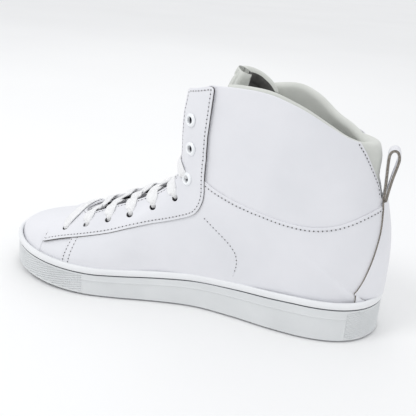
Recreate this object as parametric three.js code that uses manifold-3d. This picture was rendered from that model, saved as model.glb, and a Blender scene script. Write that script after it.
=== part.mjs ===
// Right-foot basketball high top, in millimetres.
// X runs from heel to toe, Y towards the inner (medial) side, Z up; the sole rests on z = 0.
import * as THREE from 'three';
import { mergeVertices } from 'three/addons/utils/BufferGeometryUtils.js';
import Module from 'manifold-3d';

const wasm = await Module();
wasm.setup();

// ---- Driving dimensions ----------------------------------------------------------------
const SOLE_LENGTH = 300;
const UPPER_INSET = 3.8;          // outsole edge to the upper's outer face, at the sole
const HEEL_GROOVE = 25.9;         // height of the sidewall groove at the heel
const FOREFOOT_GROOVE = 18.2;
const RAND_RISE = 5.3;            // cup rim above the groove
const TOE_SPRING = 4.6;
const TOE_SWING = 9.1;            // sideways curve of the toe
const SOLE_CENTRE_Y = 2.2;        // middle of the sole's width, moved onto the X axis at the end
const CUP_FLOOR = 6;              // outsole rubber thickness
const GAP = 0.3;                  // clearance between touching pieces

const LEATHER = [-1.4, 0];        // skins, as offsets from the upper's outer surface
const OVERLAY = [0.3, 1.7];
const STIFFENER = [-2.7, -1.7];
const LINING = [-4.4, -3];
const COLLAR_PAD = [-8.5, -1.8];

const LACE_RADIUS = 1.3;
const TAIL_RADIUS = 1.5;
const AGLET_LENGTH = 22;
const LACED_ROWS = 7;
const HOLE_RADIUS = 3;
const RINGED_HOLE_RADIUS = 3.6;

// ---- Colours ---------------------------------------------------------------------------
const WHITE_LEATHER = { color: 0xeeeef2, roughness: 0.45, metalness: 0 };
const LINING_LEATHER = { color: 0xd6d8d2, roughness: 0.6, metalness: 0 };
const SOLE_RUBBER = { color: 0xe6e7e8, roughness: 0.55, metalness: 0 };
const FOAM = { color: 0xe9e4d6, roughness: 0.9, metalness: 0 };
const BOARD = { color: 0xcfc8b8, roughness: 0.9, metalness: 0 };
const TEXTILE = { color: 0xdcdedc, roughness: 0.85, metalness: 0 };
const LACE_COTTON = { color: 0xf6f6f6, roughness: 0.8, metalness: 0 };
const ENAMEL = { color: 0xeef1f5, roughness: 0.25, metalness: 0 };
const WEBBING = { color: 0xc9c8c4, roughness: 0.8, metalness: 0 };
const AGLET_PLASTIC = { color: 0xf0f0f0, roughness: 0.3, metalness: 0 };
const LABEL = { color: 0x3a3c40, roughness: 0.7, metalness: 0 };

// ---- Interpolation ---------------------------------------------------------------------
// Smooth curve through the points (xs, ys).
function curveThrough(xs, ys, x) {
  const last = xs.length - 1;
  const at = Math.min(Math.max(x, xs[0]), xs[last]);
  let i = 0;
  while (i < last - 1 && at > xs[i + 1]) i += 1;
  const rise = (k) => (ys[k + 1] - ys[k]) / (xs[k + 1] - xs[k]);
  const slope = (k) => {
    if (k === 0) return rise(0);
    if (k === last) return rise(last - 1);
    const before = xs[k] - xs[k - 1];
    const after = xs[k + 1] - xs[k];
    return (rise(k - 1) * after + rise(k) * before) / (before + after);
  };
  const span = xs[i + 1] - xs[i];
  const t = (at - xs[i]) / span;
  const a = (2 * t - 3) * t * t + 1;
  const b = ((t - 2) * t + 1) * t;
  const c = (3 - 2 * t) * t * t;
  const d = (t - 1) * t * t;
  return a * ys[i] + b * span * slope(i) + c * ys[i + 1] + d * span * slope(i + 1);
}

const blend = (from, to, t) => from + (to - from) * Math.min(Math.max(t, 0), 1);

// ---- Sole outline ----------------------------------------------------------------------
// Half widths at fractions of the length from the heel end.
const ALONG = [0, 0.012, 0.04, 0.09, 0.16, 0.25, 0.35, 0.45, 0.55, 0.65, 0.73, 0.81, 0.88, 0.935, 0.972, 0.992, 1];
const MEDIAL = [0, 14.7, 26.3, 35.7, 40.3, 39.8, 36.4, 35.3, 40.9, 48.2, 52, 50.5, 43.9, 33.8, 21.7, 11.1, 0];
const LATERAL = [0, 14.7, 26.3, 35.7, 41.4, 42.3, 42.3, 43.5, 47.8, 52, 54, 52.5, 46.5, 36.4, 24.2, 13.1, 0];
const MEAN_HALF_WIDTH = 45;
const ALONG_ANGLES = ALONG.map((t) => Math.acos(1 - 2 * t));

function halfWidth(x, side, inset = 0) {
  const reach = SOLE_LENGTH / 2 - inset;
  const angle = Math.acos(Math.min(Math.max(-x / reach, -1), 1));
  const width = curveThrough(ALONG_ANGLES, side > 0 ? MEDIAL : LATERAL, angle);
  return Math.max(width, 0) * (1 - inset / MEAN_HALF_WIDTH);
}

const swing = (x) => TOE_SWING * Math.max(x / 150, 0) ** 1.5;
const springAt = (x) => TOE_SPRING * blend(0, 1, (x - 54) / 96) ** 2;
const grooveHeight = (x) => springAt(x) + blend(HEEL_GROOVE, FOREFOOT_GROOVE, (x + 90) / 150);
// Height of the lasted bottom edge of the upper, inside the cup.
const lastHeight = (x) => springAt(x) + blend(18, 11, (x + 90) / 120);

// ---- Upper surface ---------------------------------------------------------------------
// Stations from toe to collar. Each is a section plane across the shoe that runs from its
// base point (along the last's bottom edge, then up the back seam) to its ridge point
// (along the instep, then up the front of the shaft).
const BASE_X = [146.2, 145.5, 143.3, 138.5, 129, 114.5, 97, 78, 57, 35, 12, -12, -38, -64, -90, -113, -130,
  -141, -146.2, -147.6, -147.2, -146.2, -143.8, -139.5, -134.3, -127.5, -121, -113];
const BASE_Z = [15.4, 15.4, 15.2, 15, 14.4, 13.3, 12.3, 11.6, 11.3, 11.6, 12.4, 13.5, 14.8, 16.2, 17.3, 17.9,
  18, 18.3, 22, 33, 47, 62, 78, 94, 109, 127, 143, 163];
const RIDGE_X = [146.2, 145.3, 142, 135.5, 125, 110, 92, 74, 56, 40, 27, 18, 12.5, 10.5, 10.5, 11, 11.5, 11.8, 12,
  12, 12, 11.5, 11, 10.5, 10, 9, 8, 6];
const RIDGE_Z = [24, 29, 33, 36.7, 39.5, 42.8, 48.8, 57.8, 67.5, 75.5, 83, 90.5, 99, 108, 117, 126, 133, 138,
  142, 146, 150, 154, 158, 163, 168, 174, 180, 194];
const STATIONS = BASE_X.map((_, k) => k);
const LAST_STATION = STATIONS.length - 1;
const HEEL_STATION = 18;          // from here up, the sections close round the back seam
const TOE_BULGE = [0, 0.3, 0.4, 0.5, 0.6, 0.8, 1, 1.2, 1.5, 1.5];
const SHAFT_MEDIAL = [36.6, 34.4, 33.9, 34.6, 35.6, 36.5, 37, 37, 37, 37, 36.8, 36.6, 36.3, 36, 36, 36, 36, 36];
const SHAFT_LATERAL = [42, 40, 38.5, 38, 38, 38, 38, 38, 37.4, 37, 36.8, 36.6, 36.2, 35.7, 35.2, 34.7, 34.2, 33.7];
const widthsFor = (side, shaft) => TOE_BULGE
  .map((bulge, k) => halfWidth(BASE_X[k], side, UPPER_INSET) + bulge).concat(shaft);
const WIDTH = { 1: widthsFor(1, SHAFT_MEDIAL), '-1': widthsFor(-1, SHAFT_LATERAL) };
const ROUNDNESS = STATIONS.map((k) => curveThrough([0, 3, 7, 8, 11, 14, 27],
  [2.4, 2.2, 1.72, 1.72, 2.05, 2.25, 2.25], k));
const WIDEST = STATIONS.map((k) => curveThrough([0, 4, 7, 9, 15, 27], [0.45, 0.4, 0.35, 0.35, 0.45, 0.45], k));
const CROWN = 0.6;                // share of the section's parameter above its widest point

// q: station number; s: 0 at the ridge, +1 at the medial base, -1 at the lateral base.
function surfacePoint(q, s) {
  const side = s >= 0 ? 1 : -1;
  const baseX = curveThrough(STATIONS, BASE_X, q);
  const baseZ = curveThrough(STATIONS, BASE_Z, q);
  const ridgeX = curveThrough(STATIONS, RIDGE_X, q);
  const ridgeZ = curveThrough(STATIONS, RIDGE_Z, q);
  const reach = Math.hypot(ridgeX - baseX, ridgeZ - baseZ);
  const width = Math.max(curveThrough(STATIONS, WIDTH[side], q), 0);
  const foot = q >= HEEL_STATION ? 0 : Math.min(halfWidth(baseX, side, UPPER_INSET), width);
  const power = 2 / curveThrough(STATIONS, ROUNDNESS, q);
  const widest = curveThrough(STATIONS, WIDEST, q) * reach;
  const t = Math.abs(s);
  let y;
  let h;
  if (t <= CROWN) {
    const angle = (t / CROWN) * (Math.PI / 2);
    y = width * Math.sin(angle) ** power;
    h = widest + (reach - widest) * Math.max(Math.cos(angle), 0) ** power;
  } else {
    const down = (t - CROWN) / (1 - CROWN);
    const angle = down * (Math.PI / 2);
    const bare = width > 0 ? 1 - foot / width : 0;
    const round = bare * bare * (3 - 2 * bare);
    y = foot + (width - foot) * ((1 - round) * (1 - down * down) + round * Math.cos(angle));
    h = widest * ((1 - round) * (1 - down) + round * (1 - Math.sin(angle)));
  }
  const along = reach > 0 ? h / reach : 0;
  return new THREE.Vector3(baseX + (ridgeX - baseX) * along, side * y + swing(baseX),
    baseZ + (ridgeZ - baseZ) * along);
}

function surfaceNormal(q, s) {
  const step = 1e-3;
  const q0 = Math.max(q - step, q >= HEEL_STATION ? HEEL_STATION : 0.02);
  const q1 = Math.min(Math.max(q + step, 0.05), LAST_STATION);
  const s0 = Math.max(s - step, -1);
  const s1 = Math.min(s + step, 1);
  const mid = Math.max(q, 0.03);
  const alongQ = surfacePoint(q1, s).sub(surfacePoint(q0, s));
  const alongS = surfacePoint(mid, s1).sub(surfacePoint(mid, s0));
  const normal = alongS.cross(alongQ).normalize();
  const onBackSeam = Math.abs(s) === 1 && q >= HEEL_STATION;
  if (onBackSeam || q === 0) normal.y = 0;
  if (q === 0) normal.z = 0;
  return normal.normalize();
}

const at = (q, s, offset) => surfacePoint(q, s).addScaledVector(surfaceNormal(q, s), offset);

// ---- Solids ----------------------------------------------------------------------------
function geometryFrom(positions, index) {
  const geometry = new THREE.BufferGeometry();
  geometry.setAttribute('position', new THREE.Float32BufferAttribute(positions, 3));
  geometry.setIndex(index);
  return geometry;
}

function toSolid(geometry) {
  const bare = geometry.clone();
  bare.deleteAttribute('normal');
  bare.deleteAttribute('uv');
  const merged = mergeVertices(bare, 1e-4);
  const source = merged.index.array;
  const kept = [];
  for (let i = 0; i < source.length; i += 3) {
    const [a, b, c] = [source[i], source[i + 1], source[i + 2]];
    if (a !== b && b !== c && c !== a) kept.push(a, b, c);
  }
  return new wasm.Manifold(new wasm.Mesh({
    numProp: 3,
    vertProperties: Float32Array.from(merged.attributes.position.array),
    triVerts: Uint32Array.from(kept),
  }));
}

function toGeometry(solid) {
  const mesh = solid.getMesh();
  return geometryFrom(Array.from(mesh.vertProperties), Array.from(mesh.triVerts));
}

// Closed body between two grids of points, rows by columns.
function sheetSolid(top, bottom) {
  const rows = top.length;
  const cols = top[0].length;
  const positions = [...top, ...bottom].flat().flatMap((p) => [p.x, p.y, p.z]);
  const index = [];
  const id = (layer, i, j) => layer * rows * cols + i * cols + j;
  const quad = (a, b, c, d) => index.push(a, c, b, a, d, c);
  for (let i = 0; i < rows - 1; i += 1) {
    for (let j = 0; j < cols - 1; j += 1) {
      quad(id(0, i, j), id(0, i, j + 1), id(0, i + 1, j + 1), id(0, i + 1, j));
      quad(id(1, i, j), id(1, i + 1, j), id(1, i + 1, j + 1), id(1, i, j + 1));
    }
    quad(id(0, i, 0), id(0, i + 1, 0), id(1, i + 1, 0), id(1, i, 0));
    quad(id(0, i + 1, cols - 1), id(0, i, cols - 1), id(1, i, cols - 1), id(1, i + 1, cols - 1));
  }
  for (let j = 0; j < cols - 1; j += 1) {
    quad(id(0, 0, j + 1), id(0, 0, j), id(1, 0, j), id(1, 0, j + 1));
    quad(id(0, rows - 1, j), id(0, rows - 1, j + 1), id(1, rows - 1, j + 1), id(1, rows - 1, j));
  }
  return geometryFrom(positions, index);
}

// Closed body through stacked loops of points. The first loop folds flat onto a line and
// needs no end face; the last one is closed by a fan about its centre.
function loopSolid(loops) {
  const count = loops[0].length;
  const top = loops[loops.length - 1];
  const centre = top.reduce((sum, p) => sum.add(p), new THREE.Vector3()).divideScalar(count);
  const positions = [...loops.flat(), centre].flatMap((p) => [p.x, p.y, p.z]);
  const index = [];
  for (let i = 0; i < loops.length - 1; i += 1) {
    for (let j = 0; j < count; j += 1) {
      const next = (j + 1) % count;
      const [a, b, c, d] = [i * count + j, i * count + next, (i + 1) * count + next, (i + 1) * count + j];
      index.push(a, b, c, a, c, d);
    }
  }
  const lastRow = (loops.length - 1) * count;
  for (let j = 0; j < count; j += 1) index.push(loops.length * count, lastRow + j, lastRow + ((j + 1) % count));
  return geometryFrom(positions, index);
}

const ROWS = [0, 0.5, 1, 1.7, 2.6, 3.8, 5, 6.5, 8, 9.5, 11, 12.5, 14, 15.2, 16.2, 17, 17.6, 18, 19.5, 21.5, 24, 27];
const CROWN_STEPS = 4;
const WALL_STEPS = 4;
const ACROSS = [];
for (let k = -WALL_STEPS; k < 0; k += 1) ACROSS.push(-CROWN + ((1 - CROWN) * k) / WALL_STEPS);
for (let k = -CROWN_STEPS; k <= CROWN_STEPS; k += 1) ACROSS.push((CROWN * k) / CROWN_STEPS);
for (let k = 1; k <= WALL_STEPS; k += 1) ACROSS.push(CROWN + ((1 - CROWN) * k) / WALL_STEPS);

// The whole upper's form, grown or shrunk by an offset.
const forms = new Map();
function form(offset) {
  if (!forms.has(offset)) {
    const loops = ROWS.map((q) => ACROSS.map((s) => at(q, s, offset)));
    loops[0] = ACROSS.map((s) => at(0, Math.abs(s), offset));
    forms.set(offset, toSolid(loopSolid(loops)));
  }
  return forms.get(offset);
}

const shell = ([inner, outer]) => form(outer).subtract(form(inner));

// Side-view outline carried across the shoe from y0 to y1.
function prism(points, y0 = -90, y1 = 90) {
  const shape = new THREE.Shape(points.map(([x, z]) => new THREE.Vector2(x, z)));
  const geometry = new THREE.ExtrudeGeometry(shape, { depth: y1 - y0, bevelEnabled: false });
  geometry.rotateX(Math.PI / 2);
  geometry.translate(0, y1, 0);
  return toSolid(geometry);
}

const sideView = (points, divisions) => new THREE.SplineCurve(
  points.map(([x, z]) => new THREE.Vector2(x, z))).getPoints(divisions).map((p) => [p.x, p.y]);
const shifted = (points, dx, dz) => points.map(([x, z]) => [x + dx, z + dz]);

// Strip of the upper's surface, s within +-reach(q), between two offsets.
function ribbon(rows, reach, [inner, outer], steps) {
  const grid = (offset) => rows.map((q) => Array.from({ length: steps + 1 },
    (_, k) => at(q, reach(q) * (1 - (2 * k) / steps), offset)));
  return toSolid(sheetSolid(grid(outer), grid(inner)));
}

// ---- Seam lines, side view -------------------------------------------------------------
const TOPLINE = sideView([[-12, 167.5], [-34, 170], [-52, 170.3], [-66, 166.5], [-81, 161], [-98, 151.3],
  [-107, 146.3]], 12);
// The outer side of the collar stands lower than the inner side.
const LATERAL_TOPLINE = sideView([[-12, 156.5], [-34, 159.5], [-52, 160.5], [-66, 160], [-81, 154.5], [-98, 146],
  [-109, 143]], 12);
const LATERAL_FACING_TOP = [[34, 146.5], [-17, 157]];
const NOTCH = sideView([[-107, 146.3], [-116, 132.5], [-124, 119], [-132, 106]], 5);
const QUARTER_SEAM = sideView([[-12, 103], [-22, 98], [-39, 92.6], [-58, 88], [-76, 85], [-92, 84], [-107, 86.3],
  [-119, 91], [-129, 96], [-142, 101]], 14);
const FACING_BACK = [[-17, 168], [-15, 138], [-15, 106], [-16, 91], [-14, 82], [-10, 75.5], [-4, 71.5]];
const FACING_FOOT = [[17, 62.5], [37, 56], [53, 50], [73, 43.5], [92, 37.5], [110, 30.5]];
const FACING_FRONT = [[109, 35], [107, 40], [104.5, 48], [103, 75]];
const FACING_TOP = [[60, 120], [34, 130], [30, 158.5]];
const VAMP_SEAM = [[111.5, 15], [109, 37], [106, 60]];
const QUARTER_FRONT = [[92, 8], [84, 44], [78, 70]];

const quarterSeamUp = shifted(QUARTER_SEAM, 0, GAP / 2);
const quarterSeamDown = shifted(QUARTER_SEAM, 0, -GAP / 2);
const lastEdge = [-160, -120, -90, -60, -30, 0, 30, 60, 90, 120, 160].map((x) => [x, lastHeight(x) + 0.8]);
const MEDIAL_SIDE = [GAP / 2, 90];
const LATERAL_SIDE = [-90, -GAP / 2];

// ---- Throat and lace holes -------------------------------------------------------------
const THROAT_FRONT = 6.15;
const THROAT_ROUND = 0.9;
function throatReach(q) {
  const straight = curveThrough([6, 11, 13, 20, 27], [0.165, 0.165, 0.14, 0.14, 0.165], q);
  const ahead = (THROAT_FRONT + THROAT_ROUND - q) / THROAT_ROUND;
  return ahead > 0 ? straight * Math.sqrt(Math.max(1 - ahead * ahead, 0.01)) : straight;
}
const THROAT_ROWS = [THROAT_FRONT, 6.3, 6.6, THROAT_FRONT + THROAT_ROUND, 8, 9, 10, 11, 12, 13, 14.5, 16, 18, 20.5, 23.5, 27];
const throat = ribbon(THROAT_ROWS, throatReach, [-6, 9], 4);
const linedThroat = ribbon(THROAT_ROWS, (q) => throatReach(q) + 0.012, [-6.2, 9.2], 4);

const HOLES = [
  { q: 5.95, s: 0.28 }, { q: 6.95, s: 0.28 }, { q: 7.9, s: 0.28 }, { q: 8.85, s: 0.28 }, { q: 9.95, s: 0.28 },
  { q: 11.55, s: 0.295 }, { q: 13.35, s: 0.28 }, { q: 15.9, s: 0.25 }, { q: 19.8, s: 0.225 },
];
const isRinged = (row) => row >= 6;
const holeRadius = (row) => (isRinged(row) ? RINGED_HOLE_RADIUS : HOLE_RADIUS);
const SIDES = [1, -1];

// Places a geometry made along +Y (as cylinders and lathes are) through a hole.
function throughHole(geometry, hole, side) {
  const turn = new THREE.Quaternion().setFromUnitVectors(new THREE.Vector3(0, 1, 0),
    surfaceNormal(hole.q, side * hole.s));
  geometry.applyQuaternion(turn);
  const centre = surfacePoint(hole.q, side * hole.s);
  return geometry.translate(centre.x, centre.y, centre.z);
}

const holeCutters = HOLES.flatMap((hole, row) => SIDES.map((side) => toSolid(throughHole(
  new THREE.CylinderGeometry(holeRadius(row) - 0.3, holeRadius(row) + 0.9, 18, 7), hole, side))));

const punched = (solid) => holeCutters.reduce((rest, cutter) => rest.subtract(cutter), solid);

// ---- Sole ------------------------------------------------------------------------------
const RING_STEPS = 16;
// Outline ring at a level, from the heel round the medial side to the toe and back.
function soleRing({ inset, height }) {
  const reach = SOLE_LENGTH / 2 - inset;
  const xAt = (k) => -reach * Math.cos((Math.PI * k) / RING_STEPS);
  const point = (k, side) => {
    const x = xAt(k);
    return new THREE.Vector3(x, swing(x) + side * halfWidth(x, side, inset), height(x));
  };
  const medial = Array.from({ length: RING_STEPS + 1 }, (_, k) => point(k, 1));
  const lateral = Array.from({ length: RING_STEPS - 1 }, (_, k) => point(RING_STEPS - 1 - k, -1));
  return [...medial, ...lateral].reverse();
}

// Stack of outline rings; the end faces are strips across the shoe.
function soleSolid(levels) {
  const rings = levels.map(soleRing);
  const count = rings[0].length;
  const positions = rings.flat().flatMap((p) => [p.x, p.y, p.z]);
  const index = [];
  for (let i = 0; i < rings.length - 1; i += 1) {
    for (let j = 0; j < count; j += 1) {
      const next = (j + 1) % count;
      const [a, b, c, d] = [i * count + j, i * count + next, (i + 1) * count + next, (i + 1) * count + j];
      index.push(a, b, c, a, c, d);
    }
  }
  const lastRing = (rings.length - 1) * count;
  // Ring points j and mirror(j) face each other across the shoe.
  const heel = count - 1;
  const mirror = (j) => (2 * heel - j) % count;
  for (let j = heel; j > heel - RING_STEPS; j -= 1) {
    const [a, b, c, d] = [j, j - 1, mirror(j - 1), mirror(j)];
    index.push(a, b, c, a, c, d);
    index.push(lastRing + a, lastRing + c, lastRing + b, lastRing + a, lastRing + d, lastRing + c);
  }
  return toSolid(geometryFrom(positions, index));
}

function makeCupsole() {
  const outer = soleSolid([
    { inset: 1.4, height: springAt },
    { inset: 0, height: (x) => springAt(x) + 1.6 },
    { inset: 0.7, height: (x) => grooveHeight(x) - 0.5 },
    { inset: 1.5, height: grooveHeight },
    { inset: 0.7, height: (x) => grooveHeight(x) + 0.5 },
    { inset: 1.0, height: (x) => grooveHeight(x) + RAND_RISE - 1.2 },
    { inset: 2.0, height: (x) => grooveHeight(x) + RAND_RISE },
  ]);
  const cavity = soleSolid([
    { inset: 4.4, height: (x) => springAt(x) + CUP_FLOOR },
    { inset: 4.0, height: (x) => lastHeight(x) + 1.5 },
  ]);
  return outer.subtract(cavity).subtract(form(GAP));
}

const makeMidsole = () => soleSolid([
  { inset: 5, height: (x) => springAt(x) + CUP_FLOOR + GAP },
  { inset: 5, height: (x) => lastHeight(x) - GAP },
]);

// Flat layer inside the lining, between two heights above the last's bottom.
const LAYER_INSET = UPPER_INSET - LINING[0] + 2 * GAP;
const insoleLayer = (low, high) => soleSolid([
  { inset: LAYER_INSET, height: (x) => lastHeight(x) + low },
  { inset: LAYER_INSET, height: (x) => lastHeight(x) + high },
]).intersect(form(LINING[0] - GAP));

// ---- Upper -----------------------------------------------------------------------------
const leather = shell(LEATHER);

const makeToeCap = () => leather.intersect(prism([...VAMP_SEAM, [160, 60], [160, lastHeight(160) + 0.8],
  [130, lastHeight(130) + 0.8]]));

const makeVamp = () => punched(leather.intersect(prism([...QUARTER_FRONT.slice().reverse(),
  [92, lastHeight(92) + 0.8], [111.2, lastHeight(111) + 0.8], ...shifted(VAMP_SEAM, -GAP, 0)].filter(
  ([, z]) => z > 11))).subtract(linedThroat));

function makeQuarter(side) {
  const outline = [...quarterSeamDown.slice().reverse(), [30, 103], [78 - GAP, 70], [84 - GAP, 44],
    [91.5, lastHeight(90) + 0.8], ...lastEdge.filter(([x]) => x < 80).reverse(), [-160, 101]];
  return punched(leather.intersect(prism(outline, ...side)).subtract(linedThroat));
}

function makeCollarPanel(side, topline) {
  const outline = [...topline, ...NOTCH.slice(1), [-142, 101.6],
    ...quarterSeamUp.slice().reverse().slice(1), [30, 103.3], [30, topline[0][1] - 4]];
  return punched(leather.intersect(prism(outline, ...side)).subtract(linedThroat));
}

const makeEyestay = () => punched(shell(OVERLAY)
  .intersect(prism([...FACING_BACK, ...FACING_FOOT, ...FACING_FRONT, ...FACING_TOP])).subtract(throat)
  .subtract(prism([...LATERAL_FACING_TOP, [-40, 158], [-40, 190], [40, 190]], ...LATERAL_SIDE)));

const BACKSTAY_HALF = sideView([[9, 101], [13, 88], [17, 72], [20, 56], [24, 36], [25, 31.8]], 6);
function makeBackstay() {
  const outline = [...BACKSTAY_HALF, ...BACKSTAY_HALF.slice().reverse().map(([y, z]) => [-y, z])];
  const shape = new THREE.Shape(outline.map(([y, z]) => new THREE.Vector2(y, z)));
  const cutter = new THREE.ExtrudeGeometry(shape, { depth: 60, bevelEnabled: false });
  cutter.applyMatrix4(new THREE.Matrix4().makeBasis(new THREE.Vector3(0, 1, 0), new THREE.Vector3(0, 0, 1),
    new THREE.Vector3(1, 0, 0)));
  cutter.translate(-165, 0, 0);
  return shell(OVERLAY).intersect(toSolid(cutter));
}

const makeHeelCounter = () => shell(STIFFENER).intersect(prism([[-160, 19], [-62, lastHeight(-62) + 0.8],
  [-70, 44], [-92, 62], [-118, 74], [-160, 80]]));

const makeToePuff = () => shell(STIFFENER).intersect(prism([[102, lastHeight(102) + 3],
  [160, lastHeight(160) + 3], [160, 60], [98, 60]]));

// ---- Lining and padding ----------------------------------------------------------------
const PAD_FOOT = sideView([[-24, 136], [-50, 128], [-80, 116], [-108, 102], [-130, 88], [-150, 78]], 8);
const padTop = shifted(TOPLINE.filter(([x]) => x < -24), 0, 1.2);

function makeCollarPad() {
  const padded = shell(COLLAR_PAD).intersect(prism([[-24, 170.6], ...padTop, [-112, 147.5], [-119, 147.5],
    [-160, 147.5], ...PAD_FOOT.slice().reverse()]));
  const wedge = shell([COLLAR_PAD[0], LEATHER[1]]).intersect(prism([...shifted(NOTCH, -GAP - 0.2, 0),
    [-132.6, 106.3], [-142.2, 102], [-160, 102], [-160, 147.5], [-108, 147.5]]));
  const lateralTop = shifted(LATERAL_TOPLINE, 0, 1.2);
  const aboveLateral = prism([...lateralTop, [-109, 190], [-12, 190]], -90, -6);
  return padded.add(wedge).subtract(aboveLateral);
}

function makeQuarterLining(side, topline) {
  const top = topline[0][1];
  const outline = [...shifted(PAD_FOOT, 0, -GAP).reverse(), [-23.6, top + 0.5], [30, top - 6],
    [38, 100], [38, lastHeight(38) + 0.8], ...lastEdge.filter(([x]) => x < 38).reverse()];
  return punched(shell(LINING).intersect(prism(outline, ...side)).subtract(linedThroat));
}

const makeVampLining = () => punched(shell(LINING).intersect(prism([[38 + GAP, lastHeight(38) + 0.8],
  [60, lastHeight(60) + 0.8], [90, lastHeight(90) + 0.8], [120, lastHeight(120) + 0.8],
  [160, lastHeight(160) + 0.8], [160, 60], [38 + GAP, 100]])).subtract(linedThroat));

// ---- Tongue ----------------------------------------------------------------------------
// Middle line of the tongue's outer face, side view, from the vamp to its rolled top.
const TONGUE_X = [88, 70, 51.4, 35, 20.6, 8.9, 1.2, -1.6, -4.2, -7.5, -12.5, -18, -24.5];
const TONGUE_Z = [39.5, 49, 58.2, 65.6, 73.2, 82.4, 94.3, 107, 120, 135, 150, 165, 180];
const TONGUE_T = TONGUE_X.map((_, k) => k);
const TONGUE_SPLIT = 6.45;        // the tongue bends here, just above the last laced row
const TONGUE_GAP = 0.05;          // half the opening at the bend, in section numbers
const TONGUE_TOP = 12;

function tongueSection(t, half, thickness) {
  const x = curveThrough(TONGUE_T, TONGUE_X, t);
  const z = curveThrough(TONGUE_T, TONGUE_Z, t);
  const ahead = [curveThrough(TONGUE_T, TONGUE_X, t + 0.05), curveThrough(TONGUE_T, TONGUE_Z, t + 0.05)];
  const behind = [curveThrough(TONGUE_T, TONGUE_X, t - 0.05), curveThrough(TONGUE_T, TONGUE_Z, t - 0.05)];
  const slope = Math.hypot(ahead[0] - behind[0], ahead[1] - behind[1]);
  const out = [(ahead[1] - behind[1]) / slope, (behind[0] - ahead[0]) / slope];
  const radius = curveThrough([0, 3, 4.5, 6, 8, 12], [40, 36, 28, 23, 22, 22], t);
  const centreY = swing(x) * 0.8;
  const steps = 8;
  const row = (depth) => Array.from({ length: steps + 1 }, (_, k) => {
    const angle = (half / radius) * (1 - (2 * k) / steps);
    const drop = radius - (radius - depth) * Math.cos(angle);
    return new THREE.Vector3(x - out[0] * drop, centreY + (radius - depth) * Math.sin(angle), z - out[1] * drop);
  });
  return { outer: row(0), inner: row(thickness) };
}

function tonguePiece(from, to, steps) {
  const sections = Array.from({ length: steps + 1 }, (_, k) => {
    const t = from + ((to - from) * k) / steps;
    const half = curveThrough([0, 5, 6.4, 8, 12], [20, 22, 21.5, 25, 28], t);
    return tongueSection(t, half, curveThrough([0, 6, 9, 12], [2, 4, 8, 9], t));
  });
  return toSolid(sheetSolid(sections.map((c) => c.outer), sections.map((c) => c.inner)));
}

// Blank label on the tongue's inner face, lying a hair's breadth off it.
const LABEL_SPAN = [9.6, 11];
const LABEL_HALF_WIDTH = 11;
const LABEL_THICKNESS = 0.7;
function makeTongueLabel() {
  const sections = [0, 0.5, 1].map((share) => tongueSection(
    LABEL_SPAN[0] + (LABEL_SPAN[1] - LABEL_SPAN[0]) * share, LABEL_HALF_WIDTH, 9));
  const middle = sections[1];
  const away = middle.inner[4].clone().sub(middle.outer[4]).normalize();
  const lifted = (amount) => sections.map(({ inner }) => inner.map((p) => p.clone().addScaledVector(away, amount)));
  return toSolid(sheetSolid(lifted(0.35), lifted(0.35 + LABEL_THICKNESS)));
}

// ---- Lacing ----------------------------------------------------------------------------
// Points strung along a curve so that a tube takes one section at each of them.
class BeadPath extends THREE.Curve {
  constructor(points) {
    super();
    this.points = points;
  }

  getPoint(t) {
    const last = this.points.length - 1;
    const i = Math.min(Math.floor(t * last + 1e-9), last - 1);
    return this.points[i].clone().lerp(this.points[i + 1], t * last - i);
  }

  getPointAt(t) {
    return this.getPoint(t);
  }

  getTangent(t) {
    const last = this.points.length - 1;
    const i = Math.round(t * last);
    const ahead = this.points[Math.min(i + 1, last)];
    const behind = this.points[Math.max(i - 1, 0)];
    return ahead.clone().sub(behind).normalize();
  }

  getTangentAt(t) {
    return this.getTangent(t);
  }
}

function tube(points, radius, sides) {
  const section = new THREE.Shape(Array.from({ length: sides }, (_, k) => new THREE.Vector2(
    radius * Math.cos((2 * Math.PI * k) / sides), radius * Math.sin((2 * Math.PI * k) / sides))));
  return new THREE.ExtrudeGeometry(section, { steps: points.length - 1, extrudePath: new BeadPath(points) });
}

const smoothed = (points, perSpan) => new THREE.CatmullRomCurve3(points, false, 'centripetal')
  .getPoints((points.length - 1) * perSpan);

// From the hole at a row on one side, inside the facing, across to the next row's hole.
function crossing(row, side, under) {
  const from = HOLES[row];
  const to = HOLES[row + 1];
  const pitch = to.q - from.q;
  const q = (share) => from.q + pitch * share;
  const edge = (share) => throatReach(q(share));
  const deep = -6.9;
  const low = under ? -6.6 : -2.9;
  const clear = isRinged(row + 1) ? 5.4 : 4.1;
  return [
    at(from.q, side * from.s, -3.6),
    at(q(0.03), side * (from.s - 0.006), -6),
    at(q(0.12), side * (from.s - 0.035), deep),
    at(q(0.3), side * edge(0.6) * 0.9, deep),
    at(q(0.55), 0, low),
    at(q(0.8), -side * (edge(0.8) - 0.055), -1),
    at(q(0.9), -side * (edge(0.9) - 0.008), 4.3),
    at(q(0.98), -side * (to.s - 0.035), clear),
    at(to.q, -side * (to.s - 0.004), clear - 0.5),
    at(to.q, -side * to.s, 0.8),
  ];
}

function lacedRoute() {
  const bar = [[1, 0.8], [1, 3.2], [0.92, 4.3], [0.7, 4.3], [0.35, 4.3], [0, 4.3], [-0.35, 4.3], [-0.7, 4.3],
    [-0.92, 4.3], [-1, 3.2], [-1, 0.8]].map(([share, offset]) => at(HOLES[0].q, HOLES[0].s * share, offset));
  const run = (start, under) => {
    let side = start;
    const points = [];
    for (let row = 0; row < LACED_ROWS - 1; row += 1) {
      points.push(...crossing(row, side, under));
      side = -side;
    }
    points.push(at(HOLES[LACED_ROWS - 1].q, side * HOLES[LACED_ROWS - 1].s, -5));
    return points;
  };
  return [...run(1, true).reverse(), ...bar, ...run(-1, false)];
}

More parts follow.
